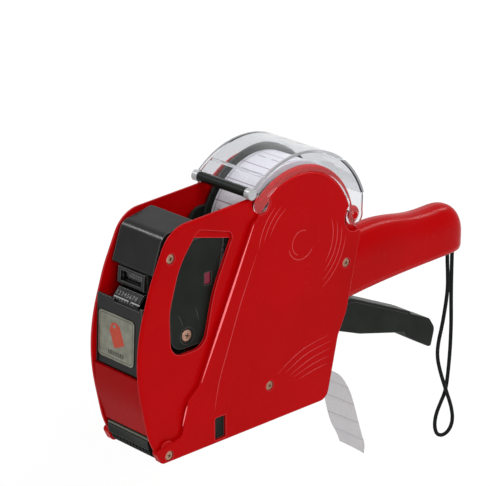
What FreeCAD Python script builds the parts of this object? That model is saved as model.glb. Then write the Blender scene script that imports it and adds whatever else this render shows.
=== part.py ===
import FreeCAD, Part
import math
import os
from FreeCAD import Placement, Rotation, Vector

# Single-line price labeling gun. X runs from the nose (negative) to the handle end (positive),
# Y across the gun, Z up. The origin is the middle of the hand grip. Lengths in millimetres.

os.makedirs("parts", exist_ok=True)
doc = FreeCAD.newDocument("PriceLabelingGun")
sheet = doc.addObject("Spreadsheet::Sheet", "Size")

# alias, value, meaning
SIZES = [
    ("half_width", 20.2, "middle plane to the raised side panels"),
    ("front_half_width", 18.0, "middle plane to the recessed front zone of a side"),
    ("wall", 1.8, "thickness of a moulded side wall"),
    ("edge_round", 1.5, "rounding round the outside of a casing side"),
    ("panel_round", 1.0, "rounding round the raised side panels"),
    ("slot_floor", 0.8, "thickness of the casing left behind the top of a slot"),
    ("base_drop", 58.0, "grip centre down to the base"),
    ("roll_x", -96.8, "centre of the dome, along X"),
    ("roll_z", 30.0, "centre of the dome, up"),
    ("dome_radius", 38.0, "shoulder of the dome that the clear cover goes over"),
    ("panel_radius", 34.6, "raised round of the dome panel"),
    ("cover_radius", 45.6, "outside of the clear cover"),
    ("cover_thick", 1.5, "thickness of the clear cover"),
    ("cover_skirt_inner", 35.2, "inner edge of the clear side skirts"),
    ("cover_half_width", 19.9, "middle plane to the outside of the clear cover"),
    ("rear_lug_x", -59.6, "cover hinge, along X"),
    ("rear_lug_z", 34.6, "cover hinge, up"),
    ("front_lug_x", -122.8, "cover snap, along X"),
    ("front_lug_z", 56.2, "cover snap, up"),
    ("lug_radius", 5.0, "rounded lugs of the clear cover"),
    ("lug_pin_radius", 2.0, "bosses that the lugs turn or snap on"),
    ("cover_rod_x", -128.8, "black bar at the front of the cover, along X"),
    ("cover_rod_z", 61.9, "black bar at the front of the cover, up"),
    ("cover_rod_radius", 2.3, "black bar"),
    ("cover_rod_half", 16.6, "half length of the black bar between its end caps"),
    ("label_width", 21.5, "width of the label web"),
    ("web_thick", 0.25, "label and liner together"),
    ("roll_radius", 34.0, "full label roll"),
    ("roll_offset_x", 1.8, "roll centre behind the dome centre"),
    ("roll_offset_z", 4.0, "roll centre above the dome centre"),
    ("core_radius", 12.6, "outside of the roll core"),
    ("core_wall", 1.6, "wall of the roll core"),
    ("flange_radius", 37.6, "black disc beside the roll"),
    ("flange_thick", 1.0, "black disc beside the roll"),
    ("frame_thick", 1.4, "inner side frames"),
    ("frame_inner", 12.2, "middle plane to the inner side frames"),
    ("arm_thick", 1.4, "swinging arm plates"),
    ("arm_inner", 14.4, "middle plane to the arm plates"),
    ("arm_pivot_x", -72.0, "arm pivot, along X"),
    ("arm_pivot_z", -4.0, "arm pivot, up"),
    ("arm_screw_x", -166.6, "screw between arm and print head, along X"),
    ("arm_screw_z", 0.5, "screw between arm and print head, up"),
    ("pin_radius", 2.0, "steel pivot pins"),
    ("roller_pin_radius", 1.6, "steel pins of the rollers and of the bottom cover"),
    ("guide_x", -131.4, "pin that turns the label web forwards, along X"),
    ("guide_z", -44.0, "pin that turns the label web forwards, up"),
    ("pin_half", 17.2, "half length of the pins that cross the body"),
    ("pin_clear", 0.05, "radial clearance of everything that turns on a pin"),
    ("gap", 0.3, "clearance between parts that slide past each other"),
    ("trigger_pivot_x", -77.0, "trigger pivot, along X"),
    ("trigger_pivot_z", -21.0, "trigger pivot, up"),
    ("trigger_half", 6.2, "half width of the trigger"),
    ("trigger_recess", 0.7, "trigger cheeks below the rib along its top"),
    ("drive_pin_x", -90.0, "pin that the trigger moves the arm by, along X"),
    ("drive_pin_z", -16.0, "pin that the trigger moves the arm by, up"),
    ("drive_pin_radius", 1.5, "pin that the trigger moves the arm by"),
    ("head_half", 14.2, "half width of the print head housing"),
    ("plate_half", 15.8, "half width of the front plate below the housing"),
    ("badge_half", 12.7, "half width of the sticker on the front plate"),
    ("badge_offset", 1.5, "middle of the sticker beside the middle plane"),
    ("head_wall", 1.6, "wall of the print head housing"),
    ("head_core_half", 9.6, "half width of the print head frame"),
    ("shaft_x", -166.5, "number setting shaft, along X"),
    ("shaft_z", 24.2, "number setting shaft, up"),
    ("shaft_radius", 2.5, "number setting shaft"),
    ("band_radius", 8.0, "number bands round the setting shaft"),
    ("band_thick", 1.0, "number bands"),
    ("band_width", 1.75, "one number band"),
    ("band_pitch", 2.0, "one number band to the next"),
    ("band_count", 8, "number bands in the single line"),
    ("sleeve_radius", 4.0, "sleeve round the setting shaft"),
    ("gear_radius", 5.2, "small gear that turns one number wheel"),
    ("knob_radius", 9.0, "setting knob"),
    ("knob_length", 9.0, "setting knob beyond the side of the body"),
    ("print_x", -170.5, "middle of the print face, along X"),
    ("print_z", -25.5, "print face at rest, up"),
    ("ink_x", -170.8, "ink roller at rest, along X"),
    ("ink_z", -32.2, "ink roller at rest, up"),
    ("ink_radius", 5.2, "felt ink roller"),
    ("ink_pivot_x", -150.0, "ink holder pivot, along X"),
    ("ink_pivot_z", -10.0, "ink holder pivot, up"),
    ("ink_pin_radius", 1.2, "thin pins of the ink roller"),
    ("platen_top", -46.4, "top of the printing platen"),
    ("applicator_x", -182.8, "applicator roller, along X"),
    ("applicator_z", -50.9, "applicator roller, up"),
    ("applicator_radius", 6.6, "over the ribs of the applicator roller"),
    ("applicator_half", 14.0, "half length of the applicator roller"),
    ("applicator_ribs", 12, "ribs round the applicator roller"),
    ("feed_x", -99.0, "feed wheel, along X"),
    ("feed_z", -38.6, "feed wheel, up"),
    ("feed_radius", 8.6, "feed wheel without its teeth"),
    ("feed_tooth", 0.9, "height of the feed teeth"),
    ("feed_teeth", 6, "feed teeth, one for each label slit"),
    ("press_radius", 3.2, "roller that presses the liner on the feed wheel"),
    ("bottom_hinge_x", -84.0, "bottom cover hinge, along X"),
    ("bottom_hinge_z", -52.6, "bottom cover hinge, up"),
    ("latch_x", -149.9, "bottom latch buttons, along X"),
    ("latch_z", -50.4, "bottom latch buttons, up"),
    ("latch_length", 7.0, "latch window along X"),
    ("latch_height", 11.6, "latch window up"),
    ("latch_travel", 2.0, "travel of a latch button"),
    ("handle_wall", 2.0, "rear walls beside the handle"),
    ("handle_hollow_half", 7.2, "half width of the hollow inside the handle"),
    ("screw_head_radius", 2.5, "case screw heads"),
    ("screw_radius", 1.2, "case screw shanks"),
    ("arm_screw_radius", 4.0, "head of the arm screws"),
    ("strap_radius", 1.05, "wrist strap cord"),
    ("strap_front_x", 31.4, "front hole of the wrist strap"),
    ("strap_rear_x", 35.2, "rear hole of the wrist strap"),
    ("knot_radius", 1.7, "knots at the ends of the wrist strap"),
    ("knot_height", 3.0, "knots at the ends of the wrist strap"),
    ("strap_exit_z", -9.2, "where the wrist strap leaves the handle"),
]

for row, (alias, value, meaning) in enumerate(SIZES, start=1):
    sheet.set(f"A{row}", meaning)
    sheet.set(f"B{row}", str(value))
    sheet.setAlias(f"B{row}", alias)
doc.recompute()


def size(alias):
    """Value of one cell of the sheet."""
    return float(sheet.get(alias))


def bind(thing, **expressions):
    """Ties properties of an object to the sheet; a dot in a name is written as __."""
    for name, expression in expressions.items():
        thing.setExpression(name.replace("__", "."), expression)


def place(thing, x="0", y="0", z="0"):
    """Ties the place of an object to the sheet."""
    bind(thing, Placement__Base__x=x, Placement__Base__y=y, Placement__Base__z=z)


# ---------------------------------------------------------------- outlines


def unit(ax, az, bx, bz):
    length = math.hypot(bx - ax, bz - az)
    return (bx - ax) / length, (bz - az) / length


def rounded(corners):
    """Edges of a closed polygon whose corners are (x, z, radius), with tangent arcs."""
    count = len(corners)
    starts = []
    ends = []
    arcs = []
    for i, (x, z, radius) in enumerate(corners):
        px, pz, _ = corners[i - 1]
        nx, nz, _ = corners[(i + 1) % count]
        ux, uz = unit(x, z, px, pz)
        vx, vz = unit(x, z, nx, nz)
        half = math.acos(max(-1.0, min(1.0, ux * vx + uz * vz))) / 2
        if radius <= 0 or half > math.pi / 2 - 1e-4:
            starts.append(Vector(x, z, 0))
            ends.append(Vector(x, z, 0))
            arcs.append(None)
            continue
        tangent = radius / math.tan(half)
        start = Vector(x + ux * tangent, z + uz * tangent, 0)
        end = Vector(x + vx * tangent, z + vz * tangent, 0)
        bx, bz = ux + vx, uz + vz
        reach = (radius / math.sin(half) - radius) / math.hypot(bx, bz)
        middle = Vector(x + bx * reach, z + bz * reach, 0)
        starts.append(start)
        ends.append(end)
        arcs.append(Part.Arc(start, middle, end))
    edges = []
    for i in range(count):
        if arcs[i]:
            edges.append(arcs[i])
        following = starts[(i + 1) % count]
        if ends[i].distanceToPoint(following) > 1e-6:
            edges.append(Part.LineSegment(ends[i], following))
    return edges


def shifted(corners, distance, closed=True):
    """Corners moved inwards by a distance, for a polygon listed clockwise as seen from the left."""
    count = len(corners)
    result = []
    for i, (x, z, radius) in enumerate(corners):
        before = corners[i - 1] if closed or i > 0 else None
        after = corners[(i + 1) % count] if closed or i < count - 1 else None
        normals = []
        if before:
            ux, uz = unit(before[0], before[1], x, z)
            normals.append((uz, -ux))
        if after:
            ux, uz = unit(x, z, after[0], after[1])
            normals.append((uz, -ux))
        if len(normals) == 1:
            mx, mz = normals[0]
            result.append((x + mx * distance, z + mz * distance, 0))
            continue
        mx = normals[0][0] + normals[1][0]
        mz = normals[0][1] + normals[1][1]
        scale = distance * 2 / (mx * mx + mz * mz)
        cross = normals[0][0] * normals[1][1] - normals[0][1] * normals[1][0]
        change = distance if cross < 0 else -distance
        inner = max(0.0, radius - change) if radius > 0 else 0.0
        result.append((x + mx * scale, z + mz * scale, inner))
    return result


def band(corners, thickness):
    """Closed strip between an open chain of corners and the same chain moved inwards."""
    outer = [(corners[0][0], corners[0][1], 0)] + corners[1:-1] + [(corners[-1][0], corners[-1][1], 0)]
    inner = shifted(corners, thickness, closed=False)
    return outer + inner[::-1]


def circle(x, z, radius):
    return [Part.Circle(Vector(x, z, 0), Vector(0, 0, 1), radius)]


def sector(x, z, outer, inner, first, last):
    """Part of a ring, with its angles in degrees from +X towards +Z."""
    a, b = math.radians(first), math.radians(last)

    def point(radius, angle):
        return Vector(x + radius * math.cos(angle), z + radius * math.sin(angle), 0)

    axis = Vector(0, 0, 1)
    middle = Vector(x, z, 0)
    return [
        Part.ArcOfCircle(Part.Circle(middle, axis, outer), a, b),
        Part.LineSegment(point(outer, b), point(inner, b)),
        Part.ArcOfCircle(Part.Circle(middle, axis, inner), a, b),
        Part.LineSegment(point(inner, a), point(outer, a)),
    ]


# ---------------------------------------------------------------- features


def new_body(label):
    body = doc.addObject("PartDesign::Body", label)
    body.Label = label
    return body


def sketch(body, role, edges, offset):
    """Sketch on an origin plane of its body, moved along the plane's normal."""
    plane = [item for item in body.Origin.OriginFeatures if item.Role == role][0]
    drawing = body.newObject("Sketcher::SketchObject", body.Name + "_sketch")
    drawing.AttachmentSupport = [(plane, "")]
    drawing.MapMode = "FlatFace"
    drawing.addGeometry(edges, False)
    bind(drawing, AttachmentOffset__Base__z=offset)
    return drawing


def feature(body, kind, edges, low, high, upwards=False):
    """Pads or pockets an outline between two Y values, or two Z values, given as expressions."""
    role = "XY_Plane" if upwards else "XZ_Plane"
    drawing = sketch(body, role, edges, low if upwards else f"-({high})")
    made = body.newObject(f"PartDesign::{kind}", body.Name + "_" + kind.lower())
    made.Profile = drawing
    bind(made, Length=f"({high}) - ({low})")
    if kind == "Pocket":
        before = body.Shape.Volume
        made.Reversed = True
        doc.recompute()
        if body.Shape.Volume > before - 1e-3:
            raise RuntimeError(f"a pocket of {body.Label} cuts nothing")
    return made


def pad(body, edges, low, high, upwards=False):
    return feature(body, "Pad", edges, low, high, upwards)


def pocket(body, edges, low, high, upwards=False):
    doc.recompute()
    return feature(body, "Pocket", edges, low, high, upwards)


def soften(body, far, radius):
    """Rounds the edges of the face that lies this far from the middle plane."""
    doc.recompute()
    tip = body.Tip
    names = []
    for number, edge in enumerate(tip.Shape.Edges, start=1):
        if all(abs(abs(end.Point.y) - far) < 0.001 for end in edge.Vertexes):
            names.append(f"Edge{number}")
    item = body.newObject("PartDesign::Fillet", f"{body.Name}_{radius}")
    item.Base = (tip, names)
    bind(item, Radius=f"Size.{radius}")


def outward(side, near, far):
    """Y limits of a feature between two distances from the middle plane, left -1 or right 1."""
    if side < 0:
        return f"-({far})", f"-({near})"
    return near, far


def plate(label, edges, low, high):
    """Flat piece: one padded outline."""
    body = new_body(label)
    pad(body, edges, low, high)
    return body


def cylinder(name, radius, low, high, x, z):
    """Cylinder along Y between two Y values."""
    item = doc.addObject("Part::Cylinder", name)
    item.Placement = Placement(Vector(0, 0, 0), Rotation(Vector(1, 0, 0), -90))
    bind(item, Radius=radius, Height=f"({high}) - ({low})")
    place(item, x, low, z)
    return item


def fuse(label, *items):
    joined = doc.addObject("Part::MultiFuse", label)
    joined.Shapes = list(items)
    joined.Label = label
    return joined


def cut(label, base, *tools):
    remaining = base
    for index, tool in enumerate(tools, start=1):
        last = index == len(tools)
        result = doc.addObject("Part::Cut", label if last else f"{label}_cut{index}")
        result.Base = remaining
        result.Tool = tool
        remaining = result
    remaining.Label = label
    return remaining


def group(label, *items):
    together = doc.addObject("Part::Compound", label)
    together.Links = list(items)
    together.Label = label
    return together


NODES = []


def keep(item, label=None):
    """Lists an object as a node that is written out."""
    if label:
        item.Label = label
    NODES.append(item)
    return item


SIDES = (("left", -1), ("right", 1))
ROLL_X = "(Size.roll_x + Size.roll_offset_x)"
ROLL_Z = "(Size.roll_z + Size.roll_offset_z)"
DOME_X = size("roll_x")
DOME_Z = size("roll_z")
BASE = -size("base_drop")

# Corners are (x, z, radius), clockwise as seen from the left side of the gun.
FRONT_EDGE = [
    (-185.5, BASE, 3.5),
    (-192.0, BASE + 13.0, 40.0),
    (-200.8, -3.0, 85.0),
    (-189.2, 32.0, 60.0),
    (-177.5, 56.3, 17.0),
    (-123.0, 59.2, 4.0),
]
REAR_EDGE = [
    (-55.2, 27.0, 3.0),
    (-64.8, -14.5, 10.0),
    (-70.3, -25.5, 10.0),
    (-77.6, BASE, 6.0),
]
DOME_FEET = [(DOME_X - 15.0, DOME_Z + 12.0, 0), (DOME_X + 32.0, DOME_Z + 8.0, 0)]
SIDE_OUTLINE = FRONT_EDGE + DOME_FEET + REAR_EDGE
PANEL_OUTLINE = [
    (-186.6, BASE, 3.0),
    (-190.2, BASE + 7.4, 2.0),
    (-173.8, BASE + 10.4, 2.5),
    (-169.8, -30.5, 3.0),
    (-163.2, -25.4, 4.0),
    (-127.6, 49.4, 3.0),
    (DOME_X - 15.0, DOME_Z + 12.0, 0),
    (DOME_X + 30.0, DOME_Z, 0),
] + REAR_EDGE
SLOT = [
    (-178.6, -7.2, 8.0),
    (-179.4, 16.0, 30.0),
    (-172.8, 37.5, 40.0),
    (-161.3, 52.2, 4.0),
    (-138.6, 45.4, 3.5),
    (-151.3, 19.5, 60.0),
    (-157.6, -7.2, 8.0),
]
SLOT_FLOOR = [
    (-167.0, 52.0, 0), (-160.0, 54.6, 3.0), (-136.6, 47.8, 3.0), (-137.2, 42.0, 0), (-167.0, 49.6, 0)
]
UPPER_REAR_WALL = [(-56.4, 22.0, 0), (-63.44, -8.6, 0)]
LOWER_REAR_WALL = [(-71.9, -32.4, 0), (-75.0, -46.0, 0)]


def along(start, end, share):
    """Corner on the straight line between two others."""
    return start[0] + (end[0] - start[0]) * share, start[1] + (end[1] - start[1]) * share, 0


CASE_SCREWS = (
    ("brow", -178.1, 42.2, "Size.front_half_width", 3.4),
    ("chin", -182.2, -54.6, "Size.half_width", 6.0),
    ("middle", -117.4, -38.6, "Size.half_width", 14.0),
    ("rear", -65.8, 11.6, "Size.half_width", 6.0),
)
PIN_SEATS = (
    ("arm_pivot_x", "arm_pivot_z", "pin_radius"),
    ("trigger_pivot_x", "trigger_pivot_z", "pin_radius"),
    ("feed_x", "feed_z", "pin_radius"),
    ("applicator_x", "applicator_z", "roller_pin_radius"),
    ("bottom_hinge_x", "bottom_hinge_z", "roller_pin_radius"),
    ("guide_x", "guide_z", "roller_pin_radius"),
)
# x, top, bottom, half width of the handle; the loft takes its stations from a curve through these
HANDLE_SHAPE = (
    (-64.0, 18.6, -15.0, 12.4),
    (-44.0, 19.0, -13.2, 11.6),
    (-20.0, 19.1, -12.0, 10.9),
    (4.0, 15.7, -11.2, 10.7),
    (18.0, 15.7, -10.8, 10.8),
    (26.0, 15.2, -10.7, 10.3),
    (31.0, 12.4, -10.7, 8.9),
    (34.4, 7.8, -10.6, 6.6),
    (36.9, 2.2, -10.4, 4.2),
    (38.2, -2.6, -9.8, 2.5),
)
HANDLE_STATIONS = [-64.0 + 8.0 * step for step in range(12)] + [28.0, 30.5, 32.5, 34.4, 36.0, 37.3, 38.2]
ARCH = 2.3
BOXY = 7.0
STEPS = 8

TRIGGER_SLOT = [(-66.0, -22.0, 0), (-66.0, -8.0, 0), (-6.0, -8.0, 0), (-6.0, -22.0, 0)]
HANDLE_HOLLOW = [
    (-66.0, -8.0, 0),
    (-66.0, 12.0, 0),
    (-20.0, 12.0, 20.0),
    (10.0, 9.6, 20.0),
    (27.0, 6.6, 4.0),
    (28.0, -8.0, 2.0),
]


def quarter(step, power):
    """Point of a rounded square's quarter, from its side at step 0 to its top at the last step."""
    angle = math.pi / 2 * step / STEPS
    return math.cos(angle) ** (2 / power), math.sin(angle) ** (2 / power)


def half_section(side, top, bottom, width):
    """Half of the handle's section on the YZ plane: arched on top, boxy below, closed on the middle plane."""
    middle = (top + bottom) / 2
    tall = (top - bottom) / 2
    points = []
    for step in range(STEPS, 0, -1):
        across, up = quarter(step, ARCH)
        points.append(Vector(side * width * across, middle + tall * up, 0))
    for step in range(STEPS + 1):
        across, up = quarter(step, BOXY)
        points.append(Vector(side * width * across, middle - tall * up, 0))
    points[0] = Vector(0, top, 0)
    points[-1] = Vector(0, bottom, 0)
    curve = Part.BSplineCurve()
    curve.interpolate(Points=points, Parameters=[index / (2 * STEPS) for index in range(2 * STEPS + 1)])
    return [curve, Part.LineSegment(points[-1], points[0])]


def half_circle(side, x, radius):
    """Half of a circle on the XY plane, closed on the middle plane."""
    start = 0.0 if side > 0 else -math.pi
    ring = Part.Circle(Vector(x, 0, 0), Vector(0, 0, 1), radius)
    arc = Part.ArcOfCircle(ring, start, start + math.pi)
    return [arc, Part.LineSegment(arc.EndPoint, arc.StartPoint)]


def handle(name, side):
    """Half of the handle: a loft of half ovals, hollow along the middle plane."""
    body = new_body(name + "_handle")
    drawings = []
    guide = Part.BSplineCurve()
    points = [Vector(top, bottom, width) for x, top, bottom, width in HANDLE_SHAPE]
    guide.interpolate(Points=points, Parameters=[row[0] for row in HANDLE_SHAPE])
    for x in HANDLE_STATIONS:
        top, bottom, width = guide.value(x)
        drawings.append(sketch(body, "YZ_Plane", half_section(side, top, bottom, width), str(x)))
    made = body.newObject("PartDesign::AdditiveLoft", body.Name + "_loft")
    made.Profile = drawings[0]
    made.Sections = drawings[1:]
    pocket(body, rounded(HANDLE_HOLLOW), *outward(side, "0", "Size.handle_hollow_half"))
    pocket(body, rounded(TRIGGER_SLOT), *outward(side, "0", "Size.trigger_half + 1"))
    for exit_x in ("strap_front_x", "strap_rear_x"):
        hole = half_circle(side, size(exit_x), size("strap_radius") + 0.25)
        pocket(body, hole, "Size.strap_exit_z - 6", "Size.strap_exit_z", upwards=True)
        seat = half_circle(side, size(exit_x), size("knot_radius"))
        pocket(body, seat, "Size.strap_exit_z", "Size.strap_exit_z + Size.knot_height", upwards=True)
    return body


def shell(name, side):
    """One half of the red casing with its half of the handle."""
    body = new_body(name + "_body")
    near, far = outward(side, "Size.front_half_width - Size.wall", "Size.front_half_width")
    pad(body, rounded(SIDE_OUTLINE), near, far)
    pad(body, circle(DOME_X, DOME_Z, size("dome_radius")), near, far)
    pad(body, circle(size("rear_lug_x"), size("rear_lug_z"), size("lug_radius") - 0.4), near, far)
    soften(body, size("front_half_width"), "edge_round")
    near, far = outward(side, "Size.front_half_width - Size.wall", "Size.half_width")
    pad(body, rounded(PANEL_OUTLINE), near, far)
    pad(body, circle(DOME_X, DOME_Z, size("panel_radius")), near, far)
    soften(body, size("half_width"), "panel_round")
    near, far = outward(side, "Size.front_half_width", "Size.half_width")
    for lug, radius in (("front", 0.5), ("rear", 2.9)):
        notch = circle(size(lug + "_lug_x"), size(lug + "_lug_z"), size("lug_radius") + radius)
        pocket(body, notch, near, far)
    inside, outside = outward(side, "Size.front_half_width - Size.wall", "Size.half_width - Size.wall")
    hollow = shifted(PANEL_OUTLINE, size("wall"))
    pocket(body, rounded(hollow), inside, outside)
    pocket(body, circle(DOME_X, DOME_Z, size("panel_radius") - size("wall")), inside, outside)
    near, far = outward(side, "0", "Size.front_half_width")
    pad(body, rounded(band(UPPER_REAR_WALL, size("handle_wall"))), near, far)
    pad(body, rounded(band(LOWER_REAR_WALL, size("handle_wall"))), near, far)
    near, far = outward(side, "Size.front_half_width - Size.wall", "Size.half_width - Size.wall / 2")
    for x, z, radius in PIN_SEATS:
        seat = circle(size(x), size(z), size(radius) + 2.2)
        pad(body, seat, near, far)
    near, far = outward(side, "0", "Size.half_width - Size.wall / 2")
    pad(body, circle(CASE_SCREWS[2][1], CASE_SCREWS[2][2], size("screw_radius") + 1.8), near, far)
    near, far = outward(side, "Size.front_half_width", "Size.cover_half_width - 0.2")
    pad(body, circle(size("rear_lug_x"), size("rear_lug_z"), size("lug_pin_radius")), near, far)
    pocket(body, rounded(SLOT), *outward(side, "0", "Size.half_width + 1"))
    low = "Size.front_half_width - Size.wall"
    pad(body, rounded(SLOT_FLOOR), *outward(side, low, low + " + Size.slot_floor"))
    latch = [
        (size("latch_x") - size("latch_length") / 2, size("latch_z") - size("latch_height") / 2, 1.0),
        (size("latch_x") - size("latch_length") / 2, size("latch_z") + size("latch_height") / 2, 1.0),
        (size("latch_x") + size("latch_length") / 2, size("latch_z") + size("latch_height") / 2, 1.0),
        (size("latch_x") + size("latch_length") / 2, size("latch_z") - size("latch_height") / 2, 1.0),
    ]
    pocket(body, rounded(latch), *outward(side, "0", "Size.half_width + 1"))
    low, high = outward(side, "Size.front_half_width - Size.wall - 1", "Size.pin_half")
    for x, z, radius in PIN_SEATS:
        pocket(body, circle(size(x), size(z), size(radius)), low, high)
    for screw_name, x, z, face, depth in CASE_SCREWS:
        if side < 0:
            pocket(body, circle(x, z, size("screw_head_radius")), f"-({face}) - 1", f"-({face}) + 1.5")
            pocket(body, circle(x, z, size("screw_radius")), f"-({face}) + 1", f"-({face}) + {depth}")
    keep(fuse(name, body, handle(name, side)))


for side_name, side_sign in SIDES:
    shell(side_name + "_shell", side_sign)




def both(half):
    """Y limits of a piece that is centred on the middle plane."""
    return f"-({half})", half


def belt(x1, z1, radius1, x2, z2, radius2):
    """Outline round two circles with the straight runs that touch both."""
    distance = math.hypot(x2 - x1, z2 - z1)
    heading = math.atan2(z2 - z1, x2 - x1)
    spread = math.acos((radius1 - radius2) / distance)
    axis = Vector(0, 0, 1)
    a, b = heading + spread, heading - spread

    def on(x, z, radius, angle):
        return Vector(x + radius * math.cos(angle), z + radius * math.sin(angle), 0)

    return [
        Part.ArcOfCircle(Part.Circle(Vector(x1, z1, 0), axis, radius1), a, b + 2 * math.pi),
        Part.LineSegment(on(x1, z1, radius1, b), on(x2, z2, radius2, b)),
        Part.ArcOfCircle(Part.Circle(Vector(x2, z2, 0), axis, radius2), b, a),
        Part.LineSegment(on(x2, z2, radius2, a), on(x1, z1, radius1, a)),
    ]


# ---------------------------------------------------------------- fixed parts

PANEL_CHAIN = [(-191.2, -43.4, 0), (-196.1, -26.5, 60.0), (-197.15, -13.6, 0)]
FRAME_OUTLINE = [
    (-157.0, -15.5, 4.0),
    (-156.0, -3.0, 4.0),
    (-141.5, 6.0, 6.0),
    (-139.5, 49.5, 8.0),
    (-70.0, 44.0, 8.0),
    (-66.8, -6.0, 5.0),
    (-74.4, -27.5, 5.0),
    (-88.0, -45.0, 6.0),
    (-106.0, -45.0, 6.0),
    (-113.0, -24.0, 8.0),
]


def front_panel():
    body = plate(
        "front_panel",
        rounded(band(PANEL_CHAIN, 1.4)),
        *both("Size.front_half_width - Size.wall - Size.gap"),
    )
    keep(body)


def inner_frames():
    for name, side in SIDES:
        body = new_body(f"inner_frame_{name}")
        low, high = outward(side, "Size.frame_inner", "Size.frame_inner + Size.frame_thick")
        pad(body, rounded(FRAME_OUTLINE), low, high)
        pad(body, circle(DOME_X, DOME_Z, size("panel_radius") + 0.4), low, high)
        for x, z, radius in PIN_SEATS[:3] + (("ink_pivot_x", "ink_pivot_z", "ink_pin_radius"),):
            pocket(body, circle(size(x), size(z), size(radius)), low, high)
        reach = size("drive_pin_radius") + 0.6
        x, z = size("drive_pin_x"), size("drive_pin_z")
        pocket(body, belt(x, z, reach, x + 2.9, z - 3.5, reach), low, high)
        keep(body)


def pins():
    for name, x, z, radius in (
        ("arm_pivot_pin", "arm_pivot_x", "arm_pivot_z", "pin_radius"),
        ("trigger_pin", "trigger_pivot_x", "trigger_pivot_z", "pin_radius"),
        ("feed_axle", "feed_x", "feed_z", "pin_radius"),
        ("applicator_axle", "applicator_x", "applicator_z", "roller_pin_radius"),
        ("bottom_hinge_pin", "bottom_hinge_x", "bottom_hinge_z", "roller_pin_radius"),
        ("web_guide_pin", "guide_x", "guide_z", "roller_pin_radius"),
    ):
        low, high = both("Size.pin_half")
        keep(cylinder(name, f"Size.{radius}", low, high, f"Size.{x}", f"Size.{z}"), name)
    low, high = both("Size.frame_inner + Size.frame_thick")
    keep(
        cylinder("ink_pivot_pin", "Size.ink_pin_radius", low, high, "Size.ink_pivot_x", "Size.ink_pivot_z"),
        "ink_pivot_pin",
    )


def case_screws():
    screws = []
    for name, x, z, face, depth in CASE_SCREWS:
        outer = f"-({face})"
        head_radius = "Size.screw_head_radius - 0.1"
        head = cylinder(
            f"{name}_screw_head", head_radius, f"{outer} + 0.2", f"{outer} + 1.5", str(x), str(z)
        )
        shank_end = f"{outer} + {depth}"
        shank = cylinder(
            f"{name}_screw_shank", "Size.screw_radius", f"{outer} + 1.5", shank_end, str(x), str(z)
        )
        screws.append(fuse(f"{name}_screw", head, shank))
    keep(group("case_screws", *screws))


def strap_knots():
    knots = []
    for name in ("front", "rear"):
        knot = doc.addObject("Part::Cylinder", f"strap_{name}_knot")
        bind(knot, Radius="Size.knot_radius", Height="Size.knot_height - 0.2")
        place(knot, f"Size.strap_{name}_x", "0", "Size.strap_exit_z")
        knots.append(knot)
    keep(group("strap_knots", *knots))


def roll_flange():
    face = "Size.label_width / 2 + Size.gap"
    disc = cylinder(
        "flange_disc", "Size.flange_radius", face, f"{face} + Size.flange_thick", ROLL_X, ROLL_Z
    )
    hub_radius = "Size.core_radius - Size.core_wall - 0.2"
    hub = cylinder(
        "flange_hub", hub_radius, "-Size.label_width / 2", f"{face} + Size.flange_thick", ROLL_X, ROLL_Z
    )
    hollow = cylinder("flange_hollow", f"{hub_radius} - 1.5", "-Size.label_width / 2", face, ROLL_X, ROLL_Z)
    keep(cut("roll_flange", fuse("flange_solid", disc, hub), hollow))


def platen():
    top = size("platen_top")
    outline = [
        (-176.8, top - 1.0, 0.4),
        (-176.2, top, 0.4),
        (-156.4, top, 0.4),
        (-156.4, top - 1.8, 0.4),
        (-175.0, top - 1.8, 0.4),
    ]
    keep(plate("platen", rounded(outline), *both("Size.front_half_width - Size.wall")))


def paper():
    thick = size("web_thick")
    left = size("roll_x") + size("roll_offset_x") - size("roll_radius")
    top = size("platen_top")
    web = [(left - 0.1, 30.0, 0), (left - 0.1, top + 0.05, 2.4), (-176.2, top + 0.05, 0)]
    keep(plate("label_web", rounded(band(web, thick)), *both("Size.label_width / 2")))
    run = size("feed_z") - size("feed_radius") - size("feed_tooth") - 0.1
    liner = [(-176.0, run, 0), (-77.0, run, 0)]
    keep(plate("liner_strip", rounded(band(liner, thick)), *both("Size.label_width / 2")))
    tail = [
        (-77.0, run, 0),
        (-72.0, run, 16.0),
        (-62.0, run - 3.2, 16.0),
        (-52.6, run - 11.6, 16.0),
        (-46.6, run - 25.0, 20.0),
        (-43.2, run - 38.0, 30.0),
        (-37.6, run - 54.0, 20.0),
        (-37.4, run - 60.0, 0),
    ]
    keep(plate("liner_tail", rounded(band(tail, thick)), *both("Size.label_width / 2")))


def trigger_spring():
    low, high = "Size.trigger_half + 0.4", "Size.frame_inner - 0.4"
    coil = cylinder("spring_outer", "4.6", low, high, "Size.trigger_pivot_x", "Size.trigger_pivot_z")
    bore = cylinder("spring_bore", "3.4", low, high, "Size.trigger_pivot_x", "Size.trigger_pivot_z")
    keep(cut("trigger_spring", coil, bore))


# ---------------------------------------------------------------- swinging arm and print head

ARM_OUTLINE = [
    (-176.4, -5.2, 7.0),
    (-177.2, 15.0, 30.0),
    (-171.2, 36.5, 30.0),
    (-163.6, 47.0, 5.0),
    (-142.6, 47.0, 5.0),
    (-149.8, 12.0, 14.0),
    (-100.0, 4.0, 30.0),
    (-66.4, 2.0, 5.8),
    (-66.4, -9.6, 5.0),
    (-82.6, -10.6, 4.0),
    (-84.6, -20.6, 3.0),
    (-95.5, -20.6, 4.0),
    (-106.0, -9.0, 12.0),
    (-158.0, -5.4, 6.0),
]
CHEEK_OUTLINE = [
    (-175.6, -23.2, 2.0),
    (-180.2, -2.0, 20.0),
    (-184.8, 15.0, 3.0),
    (-184.8, 34.0, 0),
    (-156.4, 34.0, 0),
    (-156.4, 23.0, 8.0),
    (-162.8, -10.0, 20.0),
    (-165.6, -23.2, 2.0),
]
CHEEK_CHANNEL = [
    (-190.0, -30.0, 0), (-190.0, 32.6, 0), (-157.9, 32.6, 0), (-157.9, 23.6, 0), (-166.0, -30.0, 0)
]
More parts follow.
